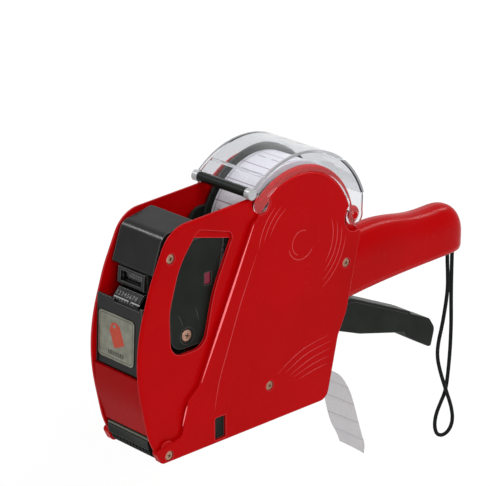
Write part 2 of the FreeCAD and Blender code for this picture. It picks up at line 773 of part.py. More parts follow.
HOUSING_OUTLINE = [(-186.3, 34.0, 1.2), (-179.8, 52.6, 6.5), (-160.6, 56.3, 1.0), (-160.6, 34.0, 0.8)]
PLATE_LOW = (-195.6, -13.4, 0.7)
PLATE_HIGH = (-193.8, 20.8, 0.7)
FRONT_PLATE = [PLATE_LOW, PLATE_HIGH, (-192.2, 20.8, 0.5), (-194.0, -13.4, 0.5)]
BADGE = [along(PLATE_LOW, PLATE_HIGH, 0.787), along(PLATE_LOW, PLATE_HIGH, 0.126)]
SCALE_LEDGE = [
    (-192.9, 18.0, 0),
    (-187.4, 24.4, 0.4),
    (-184.9, 24.4, 0),
    (-184.9, 23.2, 0),
    (-187.0, 23.2, 0),
    (-193.0, 16.2, 0),
]


def swing_arms():
    for name, side in SIDES:
        body = new_body(f"swing_arm_{name}")
        low, high = outward(side, "Size.arm_inner", "Size.arm_inner + Size.arm_thick")
        pad(body, rounded(ARM_OUTLINE), low, high)
        pocket(
            body,
            circle(size("arm_pivot_x"), size("arm_pivot_z"), size("pin_radius") + size("pin_clear")),
            low,
            high,
        )
        pocket(body, circle(size("drive_pin_x"), size("drive_pin_z"), size("drive_pin_radius")), low, high)
        pocket(body, circle(size("arm_screw_x"), size("arm_screw_z"), 1.6), low, high)
        window = [(-155.6, 22.6, 0.6), (-155.6, 28.8, 0.6), (-151.4, 28.8, 0.6), (-151.4, 22.6, 0.6)]
        pocket(body, rounded(window), low, high)
        recess = outward(side, "Size.arm_inner + 0.5", "Size.arm_inner + Size.arm_thick")
        pocket(
            body, circle(size("arm_screw_x"), size("arm_screw_z"), size("arm_screw_radius") + 0.15), *recess
        )
        if side > 0:
            sleeve = size("sleeve_radius") + 0.15
            pocket(body, circle(size("shaft_x"), size("shaft_z"), sleeve), low, high)
        keep(body)
    low, high = both("Size.arm_inner + Size.arm_thick")
    keep(
        cylinder("drive_pin", "Size.drive_pin_radius", low, high, "Size.drive_pin_x", "Size.drive_pin_z"),
        "drive_pin",
    )


def arm_screws():
    screws = []
    for name, side in SIDES:
        low, high = outward(side, "Size.arm_inner + 0.5", "Size.arm_inner + Size.arm_thick + 0.25")
        x, z = "Size.arm_screw_x", "Size.arm_screw_z"
        head = cylinder(f"{name}_arm_screw_head", "Size.arm_screw_radius", low, high, x, z)
        low, high = outward(side, "Size.head_core_half", "Size.arm_inner + 0.5")
        shank = cylinder(f"{name}_arm_screw_shank", "1.6", low, high, x, z)
        screws.append(fuse(f"{name}_arm_screw", head, shank))
    keep(group("arm_screws", *screws))


def head_frame():
    """Two cheeks that carry the number bands, joined at the back and the top."""
    body = new_body("head_frame")
    pad(body, rounded(CHEEK_OUTLINE), *both("Size.head_core_half"))
    for name, side in SIDES:
        low, high = outward(side, "Size.head_core_half", "Size.arm_inner")
        pad(body, circle(size("arm_screw_x"), size("arm_screw_z"), 4.6), low, high)
    pocket(body, rounded(CHEEK_CHANNEL), *both("Size.head_core_half - 1.4"))
    for name, side in SIDES:
        low, high = outward(side, "Size.head_core_half", "Size.arm_inner")
        pocket(body, circle(size("arm_screw_x"), size("arm_screw_z"), 1.6), low, high)
    pocket(body, circle(size("print_x"), size("print_z") + 4.0, 2.9), *both("Size.head_core_half"))
    pocket(
        body,
        circle(size("shaft_x"), size("shaft_z"), size("sleeve_radius") + 0.05),
        "0",
        "Size.head_core_half",
    )
    keep(body)


def head_housing():
    body = plate("head_housing", rounded(HOUSING_OUTLINE), *both("Size.head_half"))
    inside = shifted(HOUSING_OUTLINE, size("head_wall"))
    pocket(body, rounded(inside), *both("Size.head_half - Size.head_wall"))
    keep(body)


def window_frame():
    outline = [(-187.2, 25.6, 0.6), (-186.4, 33.8, 0.2), (-184.8, 33.8, 0), (-184.8, 25.6, 0)]
    frame = plate("window_frame", rounded(outline), *both("Size.head_core_half - 0.4"))
    opening = [(-188.0, 27.4, 0), (-188.0, 32.4, 0), (-184.0, 32.4, 0), (-184.0, 27.4, 0)]
    pocket(frame, rounded(opening), *both("Size.head_core_half - 2.2"))
    keep(frame)
    lens = [(-184.8, 26.4, 0), (-184.8, 32.6, 0), (-183.8, 32.6, 0), (-183.8, 26.4, 0)]
    keep(plate("window_lens", rounded(lens), *both("Size.head_core_half - 1.4")))


def front_plate():
    body = plate("front_plate", rounded(FRONT_PLATE), *both("Size.plate_half"))
    notch = [(-198.0, 19.4, 0), (-198.0, 24.0, 0), (-188.0, 24.0, 0), (-188.0, 19.4, 0)]
    pocket(body, rounded(notch), "-Size.plate_half + 1.6", "4.2")
    bracket = [(-193.6, -1.0, 0), (-193.4, 1.0, 0), (-181.2, 1.0, 0), (-180.7, -1.0, 0)]
    pad(body, rounded(bracket), *both("Size.head_core_half"))
    pad(body, rounded(SCALE_LEDGE), "-Size.head_core_half", "Size.head_core_half - 1.8")
    keep(body)
    low, high = "Size.badge_offset - Size.badge_half", "Size.badge_offset + Size.badge_half"
    keep(plate("badge", rounded(band(BADGE, 0.4)), low, high))


def number_bands():
    """Endless bands from the setting shaft down to the print bar, with a wheel inside each."""
    bands = []
    wheels = []
    count = int(size("band_count"))
    top_x, top_z, top_radius = size("shaft_x"), size("shaft_z"), size("band_radius")
    low_x, low_z = size("print_x"), size("print_z") + 4.0
    thick = size("band_thick")
    for index in range(count):
        start = f"({index} - Size.band_count / 2) * Size.band_pitch + (Size.band_pitch - Size.band_width) / 2"
        end = f"{start} + Size.band_width"
        item = new_body(f"number_band_{index + 1}")
        pad(item, belt(top_x, top_z, top_radius, low_x, low_z, 4.0), start, end)
        pocket(item, belt(top_x, top_z, top_radius - thick, low_x, low_z, 4.0 - thick), start, end)
        bands.append(item)
        x, z = "Size.shaft_x", "Size.shaft_z"
        rim = cylinder(f"wheel_rim_{index + 1}", "Size.band_radius - Size.band_thick", start, end, x, z)
        bore = cylinder(f"wheel_bore_{index + 1}", "Size.gear_radius + 0.3", start, end, x, z)
        wheels.append(cut(f"number_wheel_{index + 1}", rim, bore))
    keep(group("number_bands", *bands))
    keep(group("number_wheels", *wheels))
    low, high = both("Size.head_core_half")
    keep(cylinder("print_bar", "2.9", low, high, "Size.print_x", "Size.print_z + 4.0"), "print_bar")


def setting_parts():
    x, z = "Size.shaft_x", "Size.shaft_z"
    sleeve = cylinder(
        "sleeve_outer", "Size.sleeve_radius", "Size.head_core_half - 1.4", "Size.front_half_width", x, z
    )
    bore = cylinder(
        "sleeve_bore",
        "Size.shaft_radius + Size.pin_clear",
        "Size.head_core_half - 1.4",
        "Size.front_half_width",
        x,
        z,
    )
    keep(cut("setting_sleeve", sleeve, bore))
    start = "-Size.band_count / 2 * Size.band_pitch"
    shaft = cylinder("shaft_rod", "Size.shaft_radius", start, "Size.front_half_width + 1", x, z)
    keep(shaft, "setting_shaft")
    gear = cylinder("gear_round", "Size.gear_radius", f"{start} + 0.2", f"{start} + Size.band_width", x, z)
    gear_bore = cylinder(
        "gear_bore", "Size.shaft_radius", f"{start} + 0.2", f"{start} + Size.band_width", x, z
    )
    keep(cut("setting_gear", gear, gear_bore))
    body = new_body("setting_knob")
    face = "Size.front_half_width + 0.4"
    pad(
        body,
        circle(size("shaft_x"), size("shaft_z"), size("knob_radius")),
        face,
        f"{face} + Size.knob_length",
    )
    pocket(
        body,
        circle(size("shaft_x"), size("shaft_z"), size("shaft_radius")),
        face,
        "Size.front_half_width + 1",
    )
    flutes = 16
    for index in range(flutes):
        angle = 2 * math.pi * index / flutes
        reach = size("knob_radius") + 0.5
        flute = circle(
            size("shaft_x") + reach * math.cos(angle), size("shaft_z") + reach * math.sin(angle), 1.1
        )
        pocket(body, flute, f"{face} + 1", f"{face} + Size.knob_length")
    keep(body)


# ---------------------------------------------------------------- inking


def ink_parts():
    arms = belt(size("ink_pivot_x"), size("ink_pivot_z"), 3.4, size("ink_x"), size("ink_z"), 2.6)
    body = new_body("ink_holder")
    for name, side in SIDES:
        low, high = outward(side, "10.4", "11.6")
        pad(body, arms, low, high)
    brace = (
        size("ink_pivot_x") * 0.72 + size("ink_x") * 0.28, size("ink_pivot_z") * 0.72 + size("ink_z") * 0.28
    )
    pad(body, circle(brace[0], brace[1], 1.5), *both("11"))
    low, high = both("11.6")
    pocket(
        body,
        circle(size("ink_pivot_x"), size("ink_pivot_z"), size("ink_pin_radius") + size("pin_clear")),
        low,
        high,
    )
    pocket(body, circle(size("ink_x"), size("ink_z"), size("ink_pin_radius")), low, high)
    keep(body)
    low, high = both("11.6")
    keep(
        cylinder("ink_roller_pin", "Size.ink_pin_radius", low, high, "Size.ink_x", "Size.ink_z"),
        "ink_roller_pin",
    )
    low, high = both("9.4")
    felt = cylinder("felt", "Size.ink_radius", low, high, "Size.ink_x", "Size.ink_z")
    hole = cylinder(
        "felt_hole", "Size.ink_pin_radius + Size.pin_clear", low, high, "Size.ink_x", "Size.ink_z"
    )
    keep(cut("ink_roller", felt, hole))


# ---------------------------------------------------------------- rollers and feed


PRESS_CLEAR = 0.15
PRESS_DROP = f"Size.feed_radius + Size.feed_tooth + {PRESS_CLEAR} + Size.web_thick + Size.press_radius"


def applicator_roller():
    half = "Size.applicator_half"
    x, z = "Size.applicator_x", "Size.applicator_z"
    pieces = [cylinder("applicator_core", "Size.applicator_radius - 1.3", f"-{half}", half, x, z)]
    count = int(size("applicator_ribs"))
    pitch = f"(2 * {half} / Size.applicator_ribs)"
    for index in range(count):
        start = f"-{half} + {pitch} * {index} + {pitch} * 0.2"
        pieces.append(
            cylinder(f"rib_{index + 1}", "Size.applicator_radius", start, f"{start} + {pitch} * 0.6", x, z)
        )
    bore = cylinder("applicator_bore", "Size.roller_pin_radius + Size.pin_clear", f"-{half}", half, x, z)
    keep(cut("applicator_roller", fuse("applicator_solid", *pieces), bore))


def feed_parts():
    body = new_body("feed_wheel")
    x, z, radius = size("feed_x"), size("feed_z"), size("feed_radius")
    pad(body, circle(x, z, radius), "-4.5", "4.5")
    count = int(size("feed_teeth"))
    for index in range(count):
        angle = 2 * math.pi * (index + 0.25) / count
        reach = radius + size("feed_tooth") - 1.2
        pad(body, circle(x + reach * math.cos(angle), z + reach * math.sin(angle), 1.2), "-4.5", "4.5")
    pocket(body, circle(x, z, size("pin_radius") + size("pin_clear")), *both("4.5"))
    keep(body)
    ratchet = new_body("ratchet_wheel")
    pad(ratchet, circle(x, z, 6.0), "4.5", "6.9")
    for index in range(count * 2):
        angle = math.pi * index / count
        tooth = [
            (x + 5.0 * math.cos(angle), z + 5.0 * math.sin(angle), 0),
            (x + 7.0 * math.cos(angle), z + 7.0 * math.sin(angle), 0),
            (x + 5.9 * math.cos(angle - 0.45), z + 5.9 * math.sin(angle - 0.45), 0),
        ]
        pad(ratchet, rounded(tooth), "4.5", "6.9")
    pocket(ratchet, circle(x, z, size("pin_radius") + size("pin_clear")), "4.5", "6.9")
    keep(ratchet)
    lever = new_body("feed_lever")
    end_x, end_z = x + 10.0, z + 9.0
    pad(lever, belt(x, z, 4.2, end_x, end_z, 2.6), "7.3", "8.7")
    pad(lever, circle(x + 5.4, z + 7.6, 1.1), "4.9", "8.7")
    pocket(lever, circle(x, z, size("pin_radius") + size("pin_clear")), "7.3", "8.7")
    keep(lever)
    press_z = f"(Size.feed_z - ({PRESS_DROP}))"
    low, high = both("9.6")
    rubber = cylinder("press_rubber", "Size.press_radius", low, high, "Size.feed_x", press_z)
    hole = cylinder("press_hole", "1.2 + Size.pin_clear", low, high, "Size.feed_x", press_z)
    keep(cut("press_roller", rubber, hole))
    low, high = both("12.8")
    keep(cylinder("press_roller_pin", "1.2", low, high, "Size.feed_x", press_z), "press_roller_pin")


# ---------------------------------------------------------------- bottom cover and latches


def bottom_cover():
    body = new_body("bottom_cover")
    floor = [
        (-175.0, BASE, 0.8),
        (-175.0, BASE + 1.8, 0.4),
        (size("bottom_hinge_x") + 4.4, BASE + 1.8, 0.4),
        (size("bottom_hinge_x") + 4.4, BASE, 0.8),
    ]
    pad(body, rounded(floor), *both("Size.front_half_width - Size.wall - 0.4"))
    reach = size("feed_radius") + size("feed_tooth") + size("press_radius")
    press_z = size("feed_z") - reach - size("web_thick") - PRESS_CLEAR
    for name, side in SIDES:
        low, high = outward(side, "12.2", "15.4")
        hinge_x, hinge_z = size("bottom_hinge_x"), size("bottom_hinge_z")
        eye = [
            (hinge_x - 3.2, BASE + 1.0, 0),
            (hinge_x - 3.2, hinge_z + 3.2, 3.1),
            (hinge_x + 3.2, hinge_z + 3.2, 3.1),
            (hinge_x + 3.2, BASE + 1.0, 0),
        ]
        pad(body, rounded(eye), low, high)
        pocket(body, circle(hinge_x, hinge_z, size("roller_pin_radius") + size("pin_clear")), low, high)
        low, high = outward(side, "11.2", "12.8")
        x = size("feed_x")
        post = [
            (x - 3.5, BASE + 1.0, 0),
            (x - 2.4, press_z + 2.2, 1.0),
            (x + 2.4, press_z + 2.2, 1.0),
            (x + 3.5, BASE + 1.0, 0),
        ]
        pad(body, rounded(post), low, high)
        pocket(body, circle(x, press_z, 1.2), low, high)
        low, high = outward(
            side, "Size.front_half_width - Size.wall - 2.4", "Size.front_half_width - Size.wall - 0.6"
        )
        x = size("latch_x") + size("latch_length") / 2 + 2.4
        hook = [
            (x - 1.6, BASE + 1.0, 0),
            (x - 1.6, BASE + 11.0, 0.6),
            (x + 1.6, BASE + 11.0, 0.6),
            (x + 1.6, BASE + 1.0, 0),
        ]
        pad(body, rounded(hook), low, high)
    keep(body)


def latches():
    """Two push buttons and the coil that keeps them apart, as long as it is when both are pressed."""
    low, high = both("Size.front_half_width - Size.wall - 2.6 - Size.latch_travel - 0.2")
    x, z = "Size.latch_x", "Size.latch_z - 2.2"
    coil = cylinder("latch_coil", "2.0", low, high, x, z)
    bore = cylinder("latch_coil_bore", "1.3", low, high, x, z)
    keep(cut("latch_spring", coil, bore))
    for name, side in SIDES:
        low, high = outward(side, "Size.front_half_width - Size.wall - 2.6", "Size.half_width - 1.2")
        x, z = size("latch_x"), size("latch_z")
        length, height = size("latch_length") / 2 - 0.25, size("latch_height") / 2 - 0.25
        button = [
            (x - length, z - height, 0.8),
            (x - length, z + height, 0.8),
            (x + length, z + height, 0.8),
            (x + length, z - height, 0.8),
        ]
        keep(plate(f"latch_button_{name}", rounded(button), low, high))


# ---------------------------------------------------------------- trigger

TRIGGER_OUTLINE = [
    (-96.0, -20.8, 1.0),
    (-96.0, -18.6, 0.4),
    (-84.6, -18.6, 1.0),
    (-84.6, -13.9, 1.0),
    (-96.0, -13.9, 0.4),
    (-96.0, -11.8, 1.0),
    (-70.0, -12.6, 8.0),
    (-46.4, -16.7, 12.0),
    (-2.6, -36.2, 0.5),
    (-1.4, -38.0, 0.6),
    (12.6, -44.4, 5.0),
    (17.0, -51.0, 5.0),
    (14.4, -61.0, 1.3),
    (11.8, -60.2, 1.2),
    (-5.0, -50.2, 1.6),
    (-6.8, -47.0, 1.2),
    (-40.1, -38.2, 25.0),
    (-62.0, -29.8, 12.0),
    (-84.0, -27.0, 5.0),
]

TRIGGER_CHEEK = [
    (-64.0, -20.6, 0),
    (-45.8, -18.9, 12.0),
    (-5.4, -36.9, 1.2),
    (-2.3, -33.0, 0),
    (24.0, -33.0, 0),
    (24.0, -70.0, 0),
    (-64.0, -70.0, 0),
]


def trigger():
    body = plate("trigger", rounded(TRIGGER_OUTLINE), *both("Size.trigger_half"))
    for name, side in SIDES:
        low, high = outward(side, "Size.trigger_half - Size.trigger_recess", "Size.trigger_half + 1")
        pocket(body, rounded(TRIGGER_CHEEK), low, high)
    pivot = circle(size("trigger_pivot_x"), size("trigger_pivot_z"), size("pin_radius") + size("pin_clear"))
    pocket(body, pivot, *both("Size.trigger_half"))
    keep(body)


# ---------------------------------------------------------------- label roll and clear cover


def label_roll():
    low, high = both("Size.label_width / 2")
    paper_body = cylinder("roll_paper", "Size.roll_radius", low, high, ROLL_X, ROLL_Z)
    eye = cylinder("roll_eye", "Size.core_radius", low, high, ROLL_X, ROLL_Z)
    keep(cut("label_roll", paper_body, eye))
    core = cylinder("core_outer", "Size.core_radius", low, high, ROLL_X, ROLL_Z)
    bore = cylinder("core_bore", "Size.core_radius - Size.core_wall", low, high, ROLL_X, ROLL_Z)
    keep(cut("roll_core", core, bore))


def roll_cover():
    body = new_body("roll_cover_body")
    outer, thick = size("cover_radius"), size("cover_thick")
    rear, front = 20.0, 132.2
    pad(body, sector(DOME_X, DOME_Z, outer, outer - thick, rear, front), *both("Size.cover_half_width"))
    front_x, front_z = size("front_lug_x"), size("front_lug_z")
    rear_x, rear_z = size("rear_lug_x"), size("rear_lug_z")
    radius = size("lug_radius")
    for name, side in SIDES:
        low, high = outward(side, "Size.cover_half_width - Size.cover_thick", "Size.cover_half_width")
        pad(body, sector(DOME_X, DOME_Z, outer, size("cover_skirt_inner"), rear, front), low, high)
        pad(body, circle(front_x, front_z, radius), low, high)
        pad(body, circle(rear_x, rear_z, radius), low, high)
        tip = math.radians(rear + 1.0)
        neck = [
            (rear_x - radius + 0.2, rear_z, 0),
            (
                DOME_X + size("cover_skirt_inner") * math.cos(tip),
                DOME_Z + size("cover_skirt_inner") * math.sin(tip),
                0,
            ),
            (DOME_X + (outer - 0.4) * math.cos(tip), DOME_Z + (outer - 0.4) * math.sin(tip), 0),
            (rear_x + radius - 0.2, rear_z, 0),
        ]
        pad(body, rounded(neck), low, high)
    rib = math.radians(121.0)
    rib_x = DOME_X + (outer - thick) * math.cos(rib)
    rib_z = DOME_Z + (outer - thick) * math.sin(rib)
    pad(body, circle(rib_x, rib_z, 0.9), *both("Size.cover_half_width - 1"))
    low, high = both("Size.cover_half_width")
    x, z = "Size.cover_rod_x", "Size.cover_rod_z"
    seat = cylinder("cap_seat", "Size.cover_rod_radius + 0.4", low, high, x, z)
    eye = cylinder(
        "rear_lug_eye",
        "Size.lug_pin_radius + Size.pin_clear",
        low,
        high,
        "Size.rear_lug_x",
        "Size.rear_lug_z",
    )
    keep(cut("roll_cover", body, seat, eye))
    low, high = both("Size.cover_rod_half")
    keep(cylinder("cover_rod", "Size.cover_rod_radius", low, high, x, z), "cover_rod")
    caps = []
    for name, side in SIDES:
        low, high = outward(side, "Size.cover_rod_half", "Size.cover_half_width")
        caps.append(cylinder(f"{name}_cap", "Size.cover_rod_radius + 0.4", low, high, x, z))
    keep(group("cover_rod_caps", *caps))


# ---------------------------------------------------------------- wrist strap

# Route of the cord from the front hole round the loop and back to the rear hole.
STRAP_ROUTE = [
    (31.4, 0.0, -9.2),
    (31.4, 0.0, -16.0),
    (31.9, -0.3, -25.3),
    (32.1, -0.6, -33.7),
    (30.5, -1.0, -42.6),
    (28.0, -1.2, -54.0),
    (25.0, -1.4, -63.2),
    (24.4, -1.4, -71.2),
    (27.2, -1.4, -80.7),
    (33.1, -1.3, -94.7),
    (37.8, -0.9, -104.6),
    (40.1, -0.5, -113.4),
    (38.2, -0.1, -119.2),
    (33.2, 0.2, -121.3),
    (28.2, 0.4, -119.2),
    (26.3, 0.6, -113.6),
    (27.3, 0.8, -107.6),
    (30.6, 1.1, -102.4),
    (35.4, 1.3, -95.6),
    (36.9, 1.3, -84.5),
    (37.8, 1.2, -70.2),
    (37.5, 0.9, -55.6),
    (36.3, 0.4, -44.6),
    (35.6, 0.1, -34.6),
    (35.3, 0.0, -24.0),
    (35.2, 0.0, -16.0),
    (35.2, 0.0, -9.2),
]


def cord_path(points):
    """Straight runs joined by tangent arcs; prints the arc radii."""
    vectors = [Vector(*point) for point in points]
    edges = []
    start = vectors[0]
    radii = []
    for before, corner, after in zip(vectors, vectors[1:], vectors[2:]):
        back = (before - corner)
        ahead = (after - corner)
        shorter = min(back.Length, ahead.Length)
        turn = math.pi - back.getAngle(ahead)
        tangent = 0.45 * shorter
        radius = tangent / math.tan(turn / 2)
        radii.append(round(radius, 1))
        back.normalize()
        ahead.normalize()
        first = corner + back * tangent
        last = corner + ahead * tangent
        inwards = (back + ahead).normalize()
        middle = corner + inwards * (math.hypot(radius, tangent) - radius)
        edges.append(Part.LineSegment(start, first).toShape())
        edges.append(Part.Arc(first, middle, last).toShape())
        start = last
    edges.append(Part.LineSegment(start, vectors[-1]).toShape())
    print("cord radii", radii)
    return Part.Wire(edges)


def wrist_strap():
    path = cord_path(STRAP_ROUTE)
    radius = size("strap_radius")
    start = Vector(*STRAP_ROUTE[0])
    heading = Vector(*STRAP_ROUTE[1]) - start
    section = Part.Wire([Part.Circle(start, heading, radius).toShape()])
    tube = path.makePipeShell([section], True, False)
    print(
        "cord length",
        round(path.Length, 1),
        "volume share",
        round(tube.Volume / (math.pi * radius**2 * path.Length), 4),
    )
    item = doc.addObject("Part::Feature", "wrist_strap")
    item.Shape = tube
    item.Placement = Placement()
    keep(item, "wrist_strap")


for build in (
    front_panel,
    inner_frames,
    pins,
    case_screws,
    strap_knots,
    roll_flange,
    platen,
    paper,
    trigger_spring,
    swing_arms,
    arm_screws,
    head_frame,
    head_housing,
    window_frame,
    front_plate,
    number_bands,
    setting_parts,
    ink_parts,
    applicator_roller,
    feed_parts,
    bottom_cover,
    latches,
    trigger,
    label_roll,
    roll_cover,
    wrist_strap,
):
    build()


def check_and_write():
    doc.recompute()
    for item in doc.Objects:
        if "Invalid" in item.State or "Error" in item.State:
            raise RuntimeError(f"{item.Label} failed: {item.State}")
    for node in NODES:
        shape = node.Shape
        if shape.isNull() or not shape.isValid():
            raise RuntimeError(f"{node.Label} has no valid shape")
        shape.exportStep(f"parts/{node.Label}.step")
        print(node.Label, len(shape.Solids), round(shape.Volume, 1))


check_and_write()
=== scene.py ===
import bmesh
import bpy
import math
from mathutils import Matrix, Vector


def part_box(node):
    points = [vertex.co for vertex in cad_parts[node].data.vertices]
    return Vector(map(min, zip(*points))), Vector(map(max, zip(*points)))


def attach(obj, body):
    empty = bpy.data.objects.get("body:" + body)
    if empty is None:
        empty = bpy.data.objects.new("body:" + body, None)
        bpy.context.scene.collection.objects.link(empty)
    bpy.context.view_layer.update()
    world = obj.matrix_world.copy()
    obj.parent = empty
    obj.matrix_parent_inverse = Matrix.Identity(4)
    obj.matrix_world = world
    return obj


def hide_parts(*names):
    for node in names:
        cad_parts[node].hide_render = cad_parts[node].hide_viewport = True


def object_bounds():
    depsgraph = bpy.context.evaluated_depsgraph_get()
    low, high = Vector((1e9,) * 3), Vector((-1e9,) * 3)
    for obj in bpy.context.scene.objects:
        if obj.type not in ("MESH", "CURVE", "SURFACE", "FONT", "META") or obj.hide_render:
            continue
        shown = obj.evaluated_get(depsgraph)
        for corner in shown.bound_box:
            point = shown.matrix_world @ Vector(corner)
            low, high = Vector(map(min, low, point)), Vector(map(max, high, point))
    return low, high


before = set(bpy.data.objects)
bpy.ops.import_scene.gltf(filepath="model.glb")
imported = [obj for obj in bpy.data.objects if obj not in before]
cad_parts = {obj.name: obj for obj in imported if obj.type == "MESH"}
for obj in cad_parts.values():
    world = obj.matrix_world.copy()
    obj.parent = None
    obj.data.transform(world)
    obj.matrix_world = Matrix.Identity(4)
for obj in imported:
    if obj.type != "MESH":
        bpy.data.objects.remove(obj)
cadLow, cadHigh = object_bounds()

viewCamera = {
    "place": (-0.8027, -0.7349, 0.4073),
    "target": (-0.115, 0.0, 0.029),
    "lens": 164.6,
    "sensor": 36.0,
}


def clearSelection():
    if bpy.context.object and bpy.context.object.mode != "OBJECT":
        bpy.ops.object.mode_set(mode="OBJECT")
    bpy.ops.object.select_all(action="DESELECT")


def aimAt(thing, target):
    look = Vector(target) - thing.location
    thing.rotation_euler = look.to_track_quat("-Z", "Y").to_euler()


def linkNew(name, data):
    thing = bpy.data.objects.new(name, data)
    bpy.context.collection.objects.link(thing)
    return thing


def startCurve(name, thickness, steps, roundness):
    curve = bpy.data.curves.new(name, "CURVE")
    curve.dimensions = "3D"
    curve.resolution_u = steps
    curve.bevel_depth = thickness
    curve.bevel_resolution = roundness
    return curve


def addSpline(curve, places):
    spline = curve.splines.new("NURBS")
    spline.points.add(len(places) - 1)
    for point, place in zip(spline.points, places):
        point.co = (*place, 1.0)
    spline.order_u = 3
    spline.use_endpoint_u = True
    return spline


clearSelection()
bpy.ops.object.camera_add(location=viewCamera["place"])
camera = bpy.context.object
camera.name = "viewCamera"
camera.data.lens = viewCamera["lens"]
camera.data.sensor_width = viewCamera["sensor"]
aimAt(camera, viewCamera["target"])
bpy.context.scene.camera = camera
print("camera set")

wristCord = {
    "diameter": 0.0021,
    "length": 0.2367,
    "route": [  # down the front strand, round the bottom loop and back up
        (0.0314, 0.0, -0.0092), (0.0314, 0.0, -0.016), (0.0319, -0.0003, -0.0253),
        (0.0321, -0.0006, -0.0337), (0.0305, -0.001, -0.0426), (0.028, -0.0012, -0.054),
        (0.025, -0.0014, -0.0632), (0.0244, -0.0014, -0.0712), (0.0272, -0.0014, -0.0807),
        (0.0331, -0.0013, -0.0947), (0.0378, -0.0009, -0.1046), (0.0401, -0.0005, -0.1134),
        (0.0382, -0.0001, -0.1192), (0.0332, 0.0002, -0.1213), (0.0282, 0.0004, -0.1192),
        (0.0263, 0.0006, -0.1136), (0.0273, 0.0008, -0.1076), (0.0306, 0.0011, -0.1024),
        (0.0354, 0.0013, -0.0956), (0.0369, 0.0013, -0.0845), (0.0378, 0.0012, -0.0702),
        (0.0375, 0.0009, -0.0556), (0.0363, 0.0004, -0.0446), (0.0356, 0.0001, -0.0346),
        (0.0353, 0.0, -0.024), (0.0352, 0.0, -0.016), (0.0352, 0.0, -0.0092),
    ],
}


def makeWristCord(values):
    shapes = []
    for thickness in (0.0, values["diameter"] / 2):  # the bare line for the path, and the cord round it
        line = startCurve("wristCordLine", thickness, 10, 4)
        addSpline(line, values["route"])
        route = linkNew("wristCordLine", line)
        depsgraph = bpy.context.evaluated_depsgraph_get()
        shapes.append(bpy.data.meshes.new_from_object(route.evaluated_get(depsgraph)))
        bpy.data.objects.remove(route)
    shapes[1].name = "wristCord"
    cord = linkNew("wristCord", shapes[1])
    for face in cord.data.polygons:
        face.use_smooth = True
    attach(cord, "casing")
    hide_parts("wrist_strap")
    return cord


cordPiece = makeWristCord(wristCord)
print("wrist cord hung")

# building blocks of the studio and the finishes

noiseRange = (0.3, 0.7)  # most of a noise lies between these

def startFinish(name):
    finish = bpy.data.materials.new(name)
    finish.use_nodes = True
    tree = finish.node_tree
    return finish, tree, tree.nodes["Principled BSDF"]


def feed(tree, node, sockets):
    # a socket takes a value of its own or another node's output
    for name, value in sockets.items():
        if isinstance(value, bpy.types.NodeSocket):
            tree.links.new(value, node.inputs[name])
        elif value is not None:
            node.inputs[name].default_value = value


def addNode(tree, kind, sockets=None, **values):
    made = tree.nodes.new(kind)
    for name, value in values.items():
        setattr(made, name, value)
    feed(tree, made, sockets or {})
    return made


def pointOn(tree, centre=(0, 0, 0), scale=(1, 1, 1)):
    place = addNode(tree, "ShaderNodeTexCoord").outputs["Object"]
    shift = addNode(tree, "ShaderNodeVectorMath", {0: place, 1: centre}, operation="SUBTRACT")
    mapping = addNode(tree, "ShaderNodeMapping", {"Vector": shift.outputs[0], "Scale": scale})
    return mapping.outputs["Vector"]


def addNoise(tree, point, scale, detail, roughness=0.5):
    sockets = {"Vector": point, "Scale": scale, "Detail": detail, "Roughness": roughness}
    return addNode(tree, "ShaderNodeTexNoise", sockets).outputs["Fac"]


def spread(tree, value, fromLow, fromHigh, low=0.0, high=1.0):
    sockets = {"Value": value, "From Min": fromLow, "From Max": fromHigh, "To Min": low, "To Max": high}
    return addNode(tree, "ShaderNodeMapRange", sockets).outputs[0]


def reckon(tree, operation, *parts):
    return addNode(tree, "ShaderNodeMath", dict(enumerate(parts)), operation=operation).outputs[0]


def reachOf(tree, across, up):
    squares = [reckon(tree, "MULTIPLY", part, part) for part in (across, up)]
    return reckon(tree, "SQRT", reckon(tree, "ADD", *squares))


def mixColours(tree, share, *tones):
    made = addNode(tree, "ShaderNodeMix", {"Factor": share}, data_type="RGBA")
    places = [place for place, socket in enumerate(made.inputs) if socket.type == "RGBA"]
    colours = [(*tone, 1) if isinstance(tone, tuple) else tone for tone in tones]
    feed(tree, made, dict(zip(places, colours)))
    return [socket for socket in made.outputs if socket.type == "RGBA"][0]


def addBump(tree, height, distance, strength, over=None):
    sockets = {"Height": height, "Distance": distance, "Strength": strength, "Normal": over}
    return addNode(tree, "ShaderNodeBump", sockets).outputs["Normal"]


def edgeHighlightShare(tree, values):
    # where the painted highlight goes: most on a piece's outer corners, none on its faces and in its
    # inner corners
    bevel = addNode(tree, "ShaderNodeBevel", {"Radius": values["reach"]}, samples=6)
    facing = addNode(tree, "ShaderNodeNewGeometry")
    normals = {0: bevel.outputs["Normal"], 1: facing.outputs["Normal"]}
    alike = addNode(tree, "ShaderNodeVectorMath", normals, operation="DOT_PRODUCT")
    corner = spread(tree, alike.outputs["Value"], *values["turned"], values["share"], 0.0)
    sockets = {"Distance": values["room"]}
    room = addNode(tree, "ShaderNodeAmbientOcclusion", sockets, samples=6, only_local=True)
    return reckon(tree, "MULTIPLY", corner, spread(tree, room.outputs["AO"], *values["open"]))


def splitPoint(tree, point):
    return addNode(tree, "ShaderNodeSeparateXYZ", {0: point}).outputs


def layOn(tree, shader, tone, rough, normal, gloss):
    feed(tree, shader, {"Base Color": tone, "Roughness": rough, "Normal": normal,
                        "Specular IOR Level": gloss})


def blendOut(tree, kind, *sources):
    # the finish's last node, which takes the sources in their order
    last = addNode(tree, kind, dict(enumerate(sources)))
    feed(tree, tree.nodes["Material Output"], {"Surface": last.outputs[0]})


# studio

